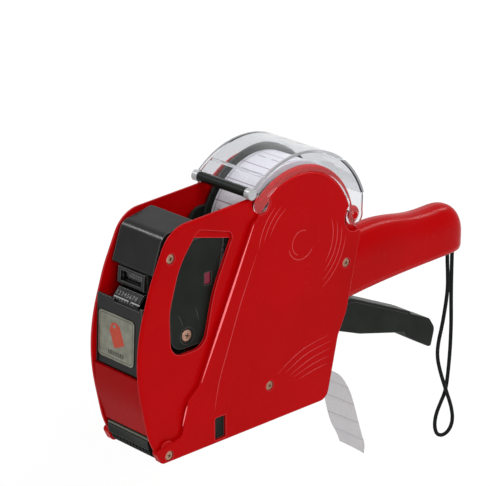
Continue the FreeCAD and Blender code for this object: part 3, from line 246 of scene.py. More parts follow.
studio = {
    "drop": 0.024,  # the floor lies this far under the lowest point, clear of the opened bottom cover
    "floorSize": 8.0,
    "floorTone": 0.26,
    "floorGlow": (0.76, 0.90),  # by the object and far away, where the lamps give less
    "glowReach": (0.25, 1.4),
    "skyLight": 0.42,  # what the world gives to matt surfaces
    "lamps": {  # name: place, aim, side lengths, power
        "keyBox": ((-0.30, -1.05, 0.95), (-0.1, 0.0, 0.0), (0.7, 0.7), 6.0),
        "edgeBox": ((-0.76, -0.92, 0.46), (-0.12, 0.0, 0.02), (0.18, 0.18), 3.0),
        "cornerBox": ((-0.60, 0.78, 0.80), (-0.18, 0.0, 0.05), (0.2, 0.2), 3.2),
        "handleBox": ((0.76, 0.05, 0.78), (0.06, 0.0, 0.03), (0.12, 0.4), 4.0),
        "topBox": ((0.0, -0.1, 1.3), (-0.04, 0.0, 0.0), (0.8, 0.3), 2.5),
    },
}


def makeFloor(values):
    bpy.ops.mesh.primitive_plane_add(size=values["floorSize"], location=(0, 0, cadLow.z - values["drop"]))
    floor = bpy.context.object
    floor.name = "studioFloor"
    bpy.ops.object.transform_apply(location=True)
    paint, tree, shader = startFinish("floorPaint")
    tone = (values["floorTone"],) * 3
    feed(tree, shader, {"Base Color": (*tone, 1), "Roughness": 0.9, "Specular IOR Level": 0.0})
    place = addNode(tree, "ShaderNodeTexCoord").outputs["Object"]
    away = addNode(tree, "ShaderNodeVectorMath", {0: place}, operation="LENGTH")
    level = spread(tree, away.outputs["Value"], *values["glowReach"], *values["floorGlow"])
    glow = addNode(tree, "ShaderNodeEmission", {"Strength": level})
    blendOut(tree, "ShaderNodeAddShader", shader.outputs[0], glow.outputs[0])
    floor.data.materials.append(paint)


def makeSky(values):
    world = bpy.data.worlds.new("studioSky")
    bpy.context.scene.world = world
    world.use_nodes = True
    tree = world.node_tree
    path = addNode(tree, "ShaderNodeLightPath")
    seen = reckon(tree, "MAXIMUM", path.outputs["Is Camera Ray"], path.outputs["Is Glossy Ray"])
    through = reckon(tree, "MAXIMUM", seen, path.outputs["Is Transmission Ray"])
    level = spread(tree, through, 0.0, 1.0, values["skyLight"])
    feed(tree, tree.nodes["Background"], {"Color": (1, 1, 1, 1), "Strength": level})


def makeLamps(values):
    for name, (place, target, size, power) in values["lamps"].items():
        bpy.ops.object.light_add(type="AREA", location=place)
        lamp = bpy.context.object
        lamp.name = name
        lamp.data.shape = "RECTANGLE"
        lamp.data.size, lamp.data.size_y = size
        lamp.data.energy = power
        aimAt(lamp, target)


clearSelection()
makeFloor(studio)
makeSky(studio)
makeLamps(studio)
bpy.context.scene.view_settings.view_transform = "Standard"
print("studio lit")

# finishes

mouldedPlastics = {  # roughness is from and to, grain and wave are scale and depth, level is the gloss, edge is the tone of a painted highlight on the outer corners
    "red_casing": {
        "dark": (0.355, 0.0005, 0.0012), "light": (0.42, 0.0010, 0.0022), "cloud": 22.0,
        # edge: the tone of the painted highlight on the outer corners
        "edge": (0.70, 0.08, 0.09),
        "rough": (0.20, 0.30), "grain": (900.0, 0.00001), "wave": (45.0, 0.00010), "level": 0.045,
        "shader": {"Specular Tint": (1.0, 0.5, 0.5, 1.0)},
    },
    # a darker copy of red_casing: painted shade on the front panel
    "red_front_shaded": {
        "dark": (0.255, 0.0005, 0.0012), "light": (0.31, 0.0010, 0.0022), "cloud": 22.0,
        "rough": (0.24, 0.34), "grain": (900.0, 0.00001), "wave": (45.0, 0.00010), "level": 0.03,
        "shader": {"Specular Tint": (1.0, 0.5, 0.5, 1.0)},
    },
    "black_gloss": {
        "dark": (0.0045, 0.0050, 0.0046), "light": (0.0095, 0.0105, 0.0095), "cloud": 60.0,
        # edge: the tone of the painted highlight on the outer corners
        "edge": (0.17, 0.17, 0.17),
        "rough": (0.16, 0.28), "grain": (1400.0, 0.00001), "wave": (70.0, 0.0002), "level": 0.15,
    },
    "black_satin": {
        "dark": (0.0050, 0.0064, 0.0050), "light": (0.010, 0.0125, 0.010), "cloud": 80.0,
        # edge: the tone of the painted highlight on the outer corners
        "edge": (0.10, 0.105, 0.10),
        "rough": (0.34, 0.46), "grain": (2600.0, 0.00003), "wave": (90.0, 0.0001), "level": 0.09,
    },
    "roller_rubber": {
        "dark": (0.0045, 0.0052, 0.0045), "light": (0.009, 0.0105, 0.009), "cloud": 120.0,
        "rough": (0.5, 0.66), "grain": (3000.0, 0.00004), "wave": (200.0, 0.00006), "level": 0.06,
    },
    "number_rubber": {
        "dark": (0.010, 0.010, 0.011), "light": (0.022, 0.022, 0.023), "cloud": 150.0,
        "rough": (0.5, 0.6), "grain": (2800.0, 0.00003), "wave": (200.0, 0.00004), "level": 0.2,
    },
    "white_nylon": {
        "dark": (0.66, 0.65, 0.61), "light": (0.78, 0.77, 0.73), "cloud": 90.0,
        "rough": (0.38, 0.5), "grain": (1800.0, 0.00002), "wave": (120.0, 0.00006), "level": 0.45,
        "shader": {"Subsurface Weight": 0.05},
    },
    "grey_caps": {
        "dark": (0.30, 0.31, 0.32), "light": (0.44, 0.45, 0.46), "cloud": 300.0,
        "rough": (0.2, 0.34), "grain": (1500.0, 0.00002), "wave": (200.0, 0.00006), "level": 0.6,
        "shader": {"Coat Weight": 0.3, "Coat Roughness": 0.1},
    },
}
mouldedSurface = {
    "smear": 3.1,  # how much finer the smears are than the cloud
    "waveStrength": 0.6,
    "grainStrength": 0.7,
}
edgeHighlights = {  # painted highlight: the outer corners are made lighter, as if they caught the lamps
    "reach": 0.0008,
    "share": 0.45,  # the most that the painted highlight's tone takes over
    "turned": (0.93, 0.998),  # how far the rounded normal agrees with the face's own
    "room": 0.002,
    "open": (0.8, 0.95),  # from an inner corner to an open one
}


def mouldedPlastic(name, values):
    finish, tree, shader = startFinish(name)
    point = pointOn(tree)
    cloud = addNoise(tree, point, values["cloud"], 4.0)
    tone = mixColours(tree, spread(tree, cloud, *noiseRange), values["dark"], values["light"])
    if "edge" in values:
        # the outer corners get a painted highlight in the edge tone
        tone = mixColours(tree, edgeHighlightShare(tree, edgeHighlights), tone, values["edge"])
    smear = addNoise(tree, point, values["cloud"] * mouldedSurface["smear"], 5.0, 0.65)
    (waveScale, waveDepth), (grainScale, grainDepth) = values["wave"], values["grain"]
    wave, grain = addNoise(tree, point, waveScale, 2.0), addNoise(tree, point, grainScale, 3.0)
    waves = addBump(tree, wave, waveDepth, mouldedSurface["waveStrength"])
    grains = addBump(tree, grain, grainDepth, mouldedSurface["grainStrength"], waves)
    rough = spread(tree, smear, *noiseRange, *values["rough"])
    layOn(tree, shader, tone, rough, grains, values["level"])
    feed(tree, shader, values.get("shader", {}))
    return finish


metals = {  # dark and light tone, roughness from and to, the grain's scale along X, Y and Z
    "steel": ((0.42, 0.43, 0.44), (0.58, 0.59, 0.6), (0.22, 0.4), (1, 0.15, 1)),
    "brass_screw": ((0.26, 0.14, 0.09), (0.44, 0.26, 0.19), (0.22, 0.42), (1, 1, 1)),
    "silver_sticker": ((0.15, 0.152, 0.12), (0.225, 0.225, 0.185), (0.3, 0.4), (1, 1, 1)),
}
metalSurface = {"grain": 900.0, "cloud": 260.0, "depth": 0.00002}


def metalFinish(name, dark, light, rough, grainScale):
    finish, tree, shader = startFinish(name)
    grain = addNoise(tree, pointOn(tree, scale=grainScale), metalSurface["grain"], 4.0, 0.6)
    cloud = addNoise(tree, pointOn(tree), metalSurface["cloud"], 3.0)
    tone = mixColours(tree, spread(tree, cloud, *noiseRange), dark, light)
    scratches = addBump(tree, grain, metalSurface["depth"], 0.5)
    rough = spread(tree, grain, *noiseRange, *rough)
    feed(tree, shader, {"Base Color": tone, "Roughness": rough, "Normal": scratches, "Metallic": 1.0})
    return finish


clearPlastic = {
    "tint": (0.78, 0.79, 0.81),
    "index": 1.33,
    "rimReflectionTone": (0.50, 0.51, 0.53),  # the hood's two outer edges, grey as a painted reflection
    "rimClear": 0.45,
    "rimWidth": 0.0012,
    "skin": 0.0015,  # the wall's thickness, past which the inner rib begins
    "slack": 0.0001,
    "hoodCentre": (-0.0968, 0.030),
    "rough": (0.015, 0.05),
    "scuffs": 140.0,
    "wave": 60.0,
    "waveDepth": 0.00015,
    "shadow": (0.9, 0.91, 0.915),
}


def clearPlasticFinish(name, values, box=None):
    # with the hood's box, its rim and its inner rib come out grey and less clear: a painted reflection of
    # the edges
    finish, tree, shader = startFinish(name)
    point = pointOn(tree)
    scuffs = addNoise(tree, point, values["scuffs"], 6.0, 0.7)
    wave = addBump(tree, addNoise(tree, point, values["wave"], 2.0), values["waveDepth"], 0.5)
    rough = spread(tree, scuffs, 0.4, 0.75, *values["rough"])
    feed(tree, shader, {"Base Color": (*values["tint"], 1), "Roughness": rough, "Normal": wave,
                        "IOR": values["index"], "Transmission Weight": 1.0, "Specular IOR Level": 0.5})
    if box:
        low, high = box
        centreX, centreZ = values["hoodCentre"]
        half, radius = (high.y - low.y) / 2, high.z - centreZ
        inner = values["skin"] + values["slack"]
        parts = splitPoint(tree, pointOn(tree, centre=(centreX, (low.y + high.y) / 2, centreZ)))
        across, reach = reckon(tree, "ABSOLUTE", parts[1]), reachOf(tree, parts[0], parts[2])
        outside = reckon(tree, "GREATER_THAN", across, half - values["rimWidth"])
        top = reckon(tree, "GREATER_THAN", reach, radius - values["rimWidth"])
        ribEnd = reckon(tree, "LESS_THAN", across, half - inner)
        ribFace = reckon(tree, "LESS_THAN", reach, radius - inner)
        rim = reckon(tree, "MAXIMUM", reckon(tree, "MULTIPLY", outside, top),
                     reckon(tree, "MULTIPLY", ribEnd, ribFace))
        # the rim and rib get a grey tone and less transmission: painted reflection
        feed(tree, shader, {"Base Color": mixColours(tree, rim, values["tint"], values["rimReflectionTone"]),
                            "Transmission Weight": spread(tree, rim, 0.0, 1.0, 1.0, values["rimClear"])})
    shadow = addNode(tree, "ShaderNodeLightPath").outputs["Is Shadow Ray"]
    clear = addNode(tree, "ShaderNodeBsdfTransparent", {"Color": (*values["shadow"], 1)})
    blendOut(tree, "ShaderNodeMixShader", shadow, shader.outputs[0], clear.outputs[0])
    return finish


labelPrint = {
    "fibre": 700.0,
    "fibreDepth": 0.00002,
    "labels": 18,  # round the roll's outside
    "pitch": 0.0119,  # from label to label on the flat web
    "lineShare": 0.05,
    "sideLine": (0.0092, 0.00022),  # place across the web and half width
    "words": (0.86, 0.035),  # the printed dash's place and half width, as shares of the pitch
    "wordPitch": 0.009,
    "wordSpan": (0.5, 0.28),  # the dash's middle and half length, as shares of wordPitch
    "strength": 0.8,
    "layers": 14000.0,  # wound layers, as radians per metre
    "rollEnd": 0.0107,  # past this distance from the middle lie the roll's end faces
    "paper": (0.66, 0.64, 0.67),
    "shade": (0.58, 0.56, 0.60),
    "outline": (0.20, 0.12, 0.16),
    "wording": (0.20, 0.18, 0.22),
}


def paperFinish(name, values, turning=None):
    finish, tree, shader = startFinish(name)
    point = pointOn(tree, centre=turning or (0, 0, 0))
    parts = splitPoint(tree, point)
    fibre = addNoise(tree, point, values["fibre"], 6.0, 0.7)
    base = mixColours(tree, spread(tree, fibre, 0.35, 0.65), values["shade"], values["paper"])
    if turning:
        angle = reckon(tree, "ARCTAN2", parts[2], parts[0])
        count = reckon(tree, "MULTIPLY", angle, values["labels"] / math.tau)
    else:
        count = reckon(tree, "DIVIDE", parts[0], values["pitch"])
    share = reckon(tree, "FRACT", count)
    gap = reckon(tree, "COMPARE", share, 0.5, values["lineShare"] / 2)
    across = reckon(tree, "ABSOLUTE", parts[1])
    outline = reckon(tree, "MAXIMUM", gap, reckon(tree, "COMPARE", across, *values["sideLine"]))
    dash = reckon(tree, "COMPARE", share, *values["words"])
    rows = reckon(tree, "FRACT", reckon(tree, "DIVIDE", parts[1], values["wordPitch"]))
    wording = reckon(tree, "MULTIPLY", dash, reckon(tree, "COMPARE", rows, *values["wordSpan"]))
    drawn = base
    for mark, tone in ((outline, values["outline"]), (wording, values["wording"])):
        drawn = mixColours(tree, reckon(tree, "MULTIPLY", mark, values["strength"]), drawn, tone)
    if turning:  # the roll's ends show its wound layers
        radius = reachOf(tree, parts[0], parts[2])
        ring = reckon(tree, "SINE", reckon(tree, "MULTIPLY", radius, values["layers"]))
        layers = mixColours(tree, spread(tree, ring, -1.0, 1.0), values["shade"], values["paper"])
        drawn = mixColours(tree, reckon(tree, "GREATER_THAN", across, values["rollEnd"]), drawn, layers)
    fibres = addBump(tree, fibre, values["fibreDepth"], 0.4)
    layOn(tree, shader, drawn, rough=0.62, normal=fibres, gloss=0.3)
    return finish


cards = {  # dark and light tone
    "cardboard_core": ((0.25, 0.17, 0.10), (0.42, 0.31, 0.20)),
    "ink_felt": ((0.006, 0.006, 0.02), (0.02, 0.02, 0.045)),
}
cardSurface = {"stretch": (1, 3, 1), "fibre": 900.0, "depth": 0.00006}


def cardFinish(name, dark, light):
    finish, tree, shader = startFinish(name)
    point = pointOn(tree, scale=cardSurface["stretch"])
    fibre = addNoise(tree, point, cardSurface["fibre"], 6.0, 0.75)
    tone = mixColours(tree, spread(tree, fibre, *noiseRange), dark, light)
    fibres = addBump(tree, fibre, cardSurface["depth"], 0.6)
    layOn(tree, shader, tone, rough=0.85, normal=fibres, gloss=0.2)
    return finish


cordWeave = {
    "turns": (150.0, 4.0, 1.0),  # strands along the cord and round it
    "dark": (0.0035, 0.0042, 0.0040),
    "light": (0.013, 0.015, 0.0145),
    "depth": 0.00012,
}


def cordFinish(name, values):
    finish, tree, shader = startFinish(name)
    place = addNode(tree, "ShaderNodeTexCoord").outputs["UV"]
    mapping = addNode(tree, "ShaderNodeMapping", {"Vector": place, "Scale": values["turns"]})
    parts = splitPoint(tree, mapping.outputs[0])
    strands = []
    for operation in ("ADD", "SUBTRACT"):
        run = reckon(tree, operation, parts[0], parts[1])
        strands.append(reckon(tree, "SINE", reckon(tree, "MULTIPLY", run, math.tau)))
    weave = reckon(tree, "MAXIMUM", *strands)
    tone = mixColours(tree, spread(tree, weave, -1.0, 1.0), values["dark"], values["light"])
    raised = addBump(tree, weave, values["depth"], 0.8)
    layOn(tree, shader, tone, rough=0.7, normal=raised, gloss=0.05)
    return finish


rollLow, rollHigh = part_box("label_roll")
rollCentre = (rollLow + rollHigh) / 2
finishes = {name: mouldedPlastic(name, values) for name, values in mouldedPlastics.items()}
finishes["clear_hood"] = clearPlasticFinish("clear_hood", clearPlastic, box=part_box("roll_cover"))
finishes.update({name: metalFinish(name, *values) for name, values in metals.items()})
finishes.update({name: cardFinish(name, *values) for name, values in cards.items()})
finishes["label_paper"] = paperFinish("label_paper", labelPrint, turning=tuple(rollCentre))
finishes["liner_paper"] = paperFinish("liner_paper", labelPrint)
finishes["lens"] = clearPlasticFinish("lens", clearPlastic)
finishes["strap_cord"] = cordFinish("strap_cord", cordWeave)
cordPiece.data.materials.append(finishes["strap_cord"])

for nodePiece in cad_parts.values():
    for slot in nodePiece.material_slots:
        slot.material = finishes[slot.name]
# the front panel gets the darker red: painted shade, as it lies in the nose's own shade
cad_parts["front_panel"].material_slots[0].material = finishes["red_front_shaded"]
print("finishes laid on")

# making pieces by hand

squareOn = 0.97  # how far a face's normal has to agree with the way it should look
sharpEdge = 1.0  # radians between the two faces of an edge
closeBy = 0.000001  # points nearer than this are one


def startPiece(name):
    piece = bpy.context.object
    piece.name = piece.data.name = name
    return piece


def pick(kind, test):
    bpy.ops.mesh.select_mode(type=kind)
    bpy.ops.mesh.select_all(action="DESELECT")
    mesh = bmesh.from_edit_mesh(bpy.context.object.data)
    mesh.normal_update()
    for part in {"VERT": mesh.verts, "EDGE": mesh.edges, "FACE": mesh.faces}[kind]:
        part.select_set(test(part))
    mesh.select_flush_mode()
    bmesh.update_edit_mesh(bpy.context.object.data)


def pickFacing(x=0, y=0, z=0):
    pick("FACE", lambda face: face.normal.dot((x, y, z)) > squareOn)


def pickSharp(test=lambda edge: True):
    pick("EDGE", lambda edge: edge.calc_face_angle(0) > sharpEdge and test(edge))


def editMode():
    bpy.ops.object.mode_set(mode="EDIT")


def objectMode():
    bpy.ops.object.mode_set(mode="OBJECT")


def focusOn(piece):
    clearSelection()
    piece.select_set(True)
    bpy.context.view_layer.objects.active = piece


def applyPlace(piece):
    focusOn(piece)
    bpy.ops.object.transform_apply(location=True, rotation=True, scale=True)


def applyModifiers(piece):
    focusOn(piece)
    for modifier in list(piece.modifiers):
        bpy.ops.object.modifier_apply(modifier=modifier.name)


def cutAway(piece, cutter):
    cut = piece.modifiers.new("cut", "BOOLEAN")
    cut.operation = "DIFFERENCE"
    cut.solver = "EXACT"
    cut.object = cutter
    applyModifiers(piece)
    bpy.data.objects.remove(cutter)


def addShape(name, operator, stretch=None, **values):
    clearSelection()
    operator(**values)
    shape = startPiece(name)
    if stretch:
        shape.scale = stretch
    applyPlace(shape)
    return shape


def addBox(name, size, middle=(0, 0, 0)):
    return addShape(name, bpy.ops.mesh.primitive_cube_add, size=1, scale=size, location=middle)


def addDisc(name, sides, radius, depth, start):
    # its axis is Y, and it begins at y = start
    return addShape(name, bpy.ops.mesh.primitive_cylinder_add, vertices=sides, radius=radius,
                    depth=depth, location=(0, start + depth / 2, 0), rotation=(math.pi / 2, 0, 0))


def addPlate(name, wide, tall, level=0.0):
    return addShape(name, bpy.ops.mesh.primitive_plane_add, (wide, tall, 1),
                    size=1, location=(0, 0, level))


def extrudePicked(*shift):
    bpy.ops.mesh.extrude_region_move(TRANSFORM_OT_translate={"value": shift})


def bevelPicked(offset, segments, kind="EDGES"):
    bpy.ops.mesh.bevel(offset=offset, segments=segments, affect=kind)


def insetPicked(width, *shift):
    # the picked faces shrink by the width and may then move
    bpy.ops.mesh.inset(thickness=width)
    if shift:
        bpy.ops.transform.translate(value=shift)


def pickAll():
    bpy.ops.mesh.select_all(action="SELECT")


def thicken(height):
    # the flat piece in edit mode gets a back and sides, all facing outwards
    pickAll()
    extrudePicked(0, 0, height)
    pickAll()
    bpy.ops.mesh.normals_make_consistent(inside=False)


def joinPieces(name, pieces):
    clearSelection()
    for piece in pieces:
        piece.select_set(True)
    bpy.context.view_layer.objects.active = pieces[0]
    bpy.ops.object.join()
    return startPiece(name)


def copyPiece(source, name, matrix):
    piece = linkNew(name, source.data.copy())
    piece.data.name = name
    piece.data.transform(matrix)
    return piece


def finishPiece(piece, body, slot, stands=(), angle=35, finish=None):
    applyPlace(piece)
    bpy.ops.object.shade_smooth_by_angle(angle=math.radians(angle))
    if not piece.data.materials:
        piece.data.materials.append(finish or finishes[slot])
    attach(piece, body)
    if stands:
        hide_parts(*stands)


def boxOf(points):
    return [Vector(limit(point[axis] for point in points) for axis in range(3)) for limit in (min, max)]


def solidsOf(node):
    # boxes of a node's separate solids, which its loose triangles fall into
    mesh = bmesh.new()
    mesh.from_mesh(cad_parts[node].data)
    bmesh.ops.remove_doubles(mesh, verts=mesh.verts, dist=closeBy)
    left, boxes = set(mesh.verts), []
    while left:
        front = [left.pop()]
        points = []
        while front:
            vertex = front.pop()
            points.append(vertex.co.copy())
            for edge in vertex.link_edges:
                other = edge.other_vert(vertex)
                if other in left:
                    left.remove(other)
                    front.append(other)
        boxes.append(boxOf(points))
    mesh.free()
    return sorted(boxes, key=lambda box: tuple(box[0]))


def faceFrame(node, toward):
    # a frame on a node's flat face: X to a viewer's right, Y up along it, Z outwards
    toward = Vector(toward).normalized()
    groups = {}
    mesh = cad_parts[node].data
    for face in mesh.polygons:
        if face.normal.dot(toward) > squareOn:
            key = tuple(round(number, 2) for number in face.normal)
            groups.setdefault(key, []).append(face)
    faces = max(groups.values(), key=lambda group: sum(face.area for face in group))
    points = [mesh.vertices[index].co for face in faces for index in face.vertices]
    low, high = boxOf(points)
    out = faces[0].normal.normalized()
    right = Vector((0, -1, 0))
    up = out.cross(right)
    middle = (low + high) / 2
    middle += out * (points[0] - middle).dot(out)
    matrix = Matrix((right, up, out)).transposed().to_4x4()
    matrix.translation = middle
    span = [max((point - middle).dot(axis) for point in points) for axis in (right, up)]
    return matrix, span


paintTones = {  # colour and roughness
    "white_paint": ((0.17, 0.174, 0.17), 0.4),
    # grey paint: the painted highlight along the front plate's notch
    "highlight_grey_paint": ((0.30, 0.31, 0.31), 0.4),
    "red_print": ((0.34, 0.03, 0.008), 0.4),
    "dark_print": ((0.012, 0.014, 0.006), 0.4),
    # the casing red made darker: painted shade in the arm's window
    "tab_red_shaded": ((0.13, 0.002, 0.018), 0.3),
    # edge red: a painted highlight along the ridge
    "edge_highlight_red": ((0.82, 0.13, 0.14), 0.22),
    # relief red: lighter and pinker than the casing, a faint painted highlight on the moulded lines
    "relief_red_highlight": ((0.42, 0.014, 0.018), 0.25),
    # arm grey: a painted highlight along the arm's step lines
    "arm_highlight_grey": ((0.04, 0.042, 0.036), 0.3),
    # lip grey: a painted highlight along the roller guard's top
    "lip_highlight_grey": ((0.085, 0.085, 0.066), 0.3),
}
paintSurface = {
    "cloud": 900.0,
    "lighter": (1.35, 0.004),  # the light tone is the colour times the first plus the second
    "depth": 0.00001,
    "roughSpan": 0.12,
}


def paintFinish(name, colour, rough):
    finish, tree, shader = startFinish(name)
    cloud = addNoise(tree, pointOn(tree), paintSurface["cloud"], 4.0, 0.7)
    times, plus = paintSurface["lighter"]
    light = tuple(min(1.0, number * times + plus) for number in colour)
    tone = mixColours(tree, spread(tree, cloud, *noiseRange), colour, light)
    grain = addBump(tree, cloud, paintSurface["depth"], 0.5)
    rough = spread(tree, cloud, 0.0, 1.0, rough, rough + paintSurface["roughSpan"])
    layOn(tree, shader, tone, rough, grain, gloss=0.3)
    return finish


paints = {name: paintFinish(name, *values) for name, values in paintTones.items()}

# screws

screwHeads = {
    "sides": 40,
    "edge": 0.14,  # shares of the head's radius
    "crown": 0.10,
    "rings": (0.3, 0.2),
    "slotReach": 0.62,
    "slotWidth": 0.24,
    "slotDepth": 0.55,
    "slotTaper": 0.5,
}


def makeScrewHead(name, radius, depth, shank, length, values):
    # the head's face looks along -Y from the origin, and the shank runs along +Y
    head = addDisc(name, values["sides"], radius, depth, 0)
    editMode()
    pick("EDGE", lambda edge: all(vertex.co.y < depth / 2 for vertex in edge.verts))
    bevelPicked(radius * values["edge"], 3)
    pickFacing(y=-1)
    for ring, part in zip(values["rings"], (2, 4)):
        insetPicked(radius * ring, 0, -radius * values["crown"] / part, 0)
    pickFacing(y=1)
    insetPicked(radius - shank)
    extrudePicked(0, length, 0)
    objectMode()
    reach, width = radius * values["slotReach"], radius * values["slotWidth"]
    cut = radius * values["slotDepth"]
    for size in ((2 * reach, 2 * cut, width), (width, 2 * cut, 2 * reach)):
        bar = addBox("slotCutter", size)
        editMode()
        pickFacing(y=1)
        bpy.ops.transform.resize(value=(values["slotTaper"], 1, values["slotTaper"]))
        objectMode()
        cutAway(head, bar)
    return head


def turnOf(degrees, number):
    # each screw of a row stops at another angle
    return Matrix.Rotation(math.radians(degrees[0] + degrees[1] * number), 4, "Y")


caseScrews = {
    "depth": 0.0015,
    "shank": 0.45,  # share of the head's radius
    "spare": 0.002,  # how much shorter the shank is than the shortest screw
    "sunk": 0.0001,
    "turn": (25, 50),  # the first screw's angle, and the step to each next one
}


def makeCaseScrews(values):
    boxes = solidsOf("case_screws")
    radius = (boxes[0][1].z - boxes[0][0].z) / 2
    length = min(high.y - low.y for low, high in boxes) - values["spare"]
    shank = radius * values["shank"]
    first = makeScrewHead("screwHead", radius, values["depth"], shank, length, screwHeads)
    for number, (low, high) in enumerate(boxes):
        middle = (low + high) / 2
        place = Matrix.Translation((middle.x, low.y + values["sunk"], middle.z))
        screw = copyPiece(first, f"caseScrew{number + 1}", place @ turnOf(values["turn"], number))
        finishPiece(screw, "casing", "brass_screw", ["case_screws"])
    bpy.data.objects.remove(first)


armWasher = {
    "rim": 0.14,  # share of the radius
    "sink": 0.00022,
    "edge": 0.00008,
    "depth": 0.0011,
    "under": 0.0007,  # the face of the boss
    "head": {"share": 0.74, "depth": 0.0010, "under": 0.0004, "shank": 0.003, "turn": (20, 35)},
}


def makeArmScrews(values):
    boxes = solidsOf("arm_screws")
    radius = (boxes[0][1].z - boxes[0][0].z) / 2
    head = values["head"]
    size = radius * head["share"]
    first = makeScrewHead("armScrewHead", size, head["depth"], size / 2, head["shank"], screwHeads)
    washer = addDisc("armWasherShape", 48, radius, values["depth"], values["under"])
    middle = values["under"] + values["depth"] / 2
    editMode()
    pickFacing(y=-1)
    insetPicked(radius * values["rim"])
    extrudePicked(0, values["sink"], 0)
    pickSharp(lambda edge: all(vertex.co.y < middle for vertex in edge.verts))
    bevelPicked(values["edge"], 2)
    objectMode()
    for number, (low, high) in enumerate(boxes):
        middle = (low + high) / 2
        side, outer, turn = ("Left", low.y, 0) if middle.y < 0 else ("Right", high.y, math.pi)
        place = Matrix.Translation((middle.x, outer, middle.z)) @ Matrix.Rotation(turn, 4, "Z")
        seat = Matrix.Translation((0, head["under"], 0)) @ turnOf(head["turn"], number)
        screw = copyPiece(first, "armScrew" + side, place @ seat)
        finishPiece(screw, "swing_arm", "brass_screw", ["arm_screws"])
        ring = copyPiece(washer, "armWasher" + side, place)
        finishPiece(ring, "swing_arm", "black_satin")
    bpy.data.objects.remove(first)
    bpy.data.objects.remove(washer)


makeCaseScrews(caseScrews)
makeArmScrews(armWasher)
print("screws set")

# sticker on the front plate

sticker = {
    "corner": 0.0024,
    "thick": 0.0004,
    "border": 0.0009,
    "line": 0.00028,
    "slack": 0.1,  # share by which the line's corners may miss their place
    "raise": 0.00004,
    "tag": (0.0078, 0.0118),  # width and height of the printed tag
    "shoulder": 0.33,  # shares of the tag's width
    "foot": 0.14,
    "hole": 0.12,
    "holeRise": 0.34,  # share of its height
    "tagTurn": 24,
    "tagPlace": (0.0002, 0.0016),
    "bars": (0.5, 0.3, 0.9, 0.3, 0.5, 0.3, 0.7, 0.3, 0.5, 0.9, 0.3, 0.6),  # widths in mm
    "barGap": 0.45,
    "barHeight": 0.0022,
    "barDrop": -0.0079,
}


def roundedGap(point, half, corner):
    # how far inside a rounded rectangle's edge a point lies
    over = [abs(point[axis]) - (half[axis] - corner) for axis in range(2)]
    outside = math.hypot(max(over[0], 0), max(over[1], 0))
    return corner - outside - min(max(over), 0)


def makeSticker(values):
    matrix, half = faceFrame("badge", (-1, 0, 0))
    plate = addPlate("frontSticker", 2 * half[0], 2 * half[1], -values["thick"])
    editMode()
    pickAll()
    bevelPicked(values["corner"], 8, "VERTICES")
    thicken(values["thick"])
    pickFacing(z=1)
    insetPicked(values["border"])
    insetPicked(values["line"])
    objectMode()
    plate.data.materials.append(finishes["silver_sticker"])
    plate.data.materials.append(paints["dark_print"])
    low = values["border"] * (1 - values["slack"])
    high = values["border"] + values["line"] * (1 + values["slack"])
    for face in plate.data.polygons:
        corners = [plate.data.vertices[index].co for index in face.vertices]
        gaps = [roundedGap(point, half, values["corner"]) for point in corners]
        if face.normal.z > squareOn and len(corners) == 4 and low < min(gaps) and max(gaps) < high:
            face.material_index = 1
    plate.data.transform(matrix)
    finishPiece(plate, "swing_arm", "silver_sticker", ["badge"], 30)
    return matrix


def printOn(piece, matrix, paint, slot):
    # all print is on the swinging head
    piece.data.transform(matrix)
    finishPiece(piece, "swing_arm", slot, finish=paints[paint])


def makeStickerPrint(matrix, values):
    wide, tall = values["tag"]
    tag = addPlate("stickerTag", wide, tall)
    editMode()
    pick("VERT", lambda vertex: vertex.co.y > 0)
    bevelPicked(wide * values["shoulder"], 1, "VERTICES")
    pick("VERT", lambda vertex: vertex.co.y < 0)
    bevelPicked(wide * values["foot"], 5, "VERTICES")
    thicken(values["raise"])
    objectMode()
    bpy.ops.mesh.primitive_cylinder_add(vertices=24, radius=wide * values["hole"], depth=0.002,
                                        location=(0, tall * values["holeRise"], 0))
    cutAway(tag, startPiece("tagPunch"))
    lean = Matrix.Rotation(math.radians(values["tagTurn"]), 4, "Z")
    lean.translation = (*values["tagPlace"], 0)
    printOn(tag, matrix @ lean, "red_print", "silver_sticker")
    strips, place = [], 0.0
    total = sum(values["bars"]) + values["barGap"] * (len(values["bars"]) - 1)
    for width in values["bars"]:
        middle = ((place + width / 2 - total / 2) / 1000, values["barDrop"], values["raise"] / 2)
        strips.append(addBox("stickerBar", (width / 1000, values["barHeight"], values["raise"]), middle))
        place += width + values["barGap"]
    printOn(joinPieces("stickerBars", strips), matrix, "dark_print", "silver_sticker")


makeStickerPrint(makeSticker(sticker), sticker)
print("sticker laid on")

# digits and scale at the top of the front plate, and a painted highlight along its notch

bandScale = {
    "digits": "12345678",
    "textSize": 0.00294,  # the digits then stand 2.1 mm high
    "pitch": 0.0019,
    "raise": 0.00005,
    "shift": -0.0012,  # towards the viewer's right
    "rise": 0.0009,
    "tickWidth": 0.0003,
    "tickHeight": 0.0011,
    "tickDrop": -0.0019,
}


def makeDigit(digit, size, thickness):
    clearSelection()
    bpy.ops.object.text_add()
    words = bpy.context.object
    words.data.body = digit
    words.data.size = size
    words.data.align_x = words.data.align_y = "CENTER"
    words.data.resolution_u = 3
    words.data.extrude = thickness
    bpy.ops.object.convert(target="MESH")
    piece = startPiece("digitShape")
    editMode()
    pickAll()
    bpy.ops.mesh.remove_doubles(threshold=closeBy)
    objectMode()
    return piece


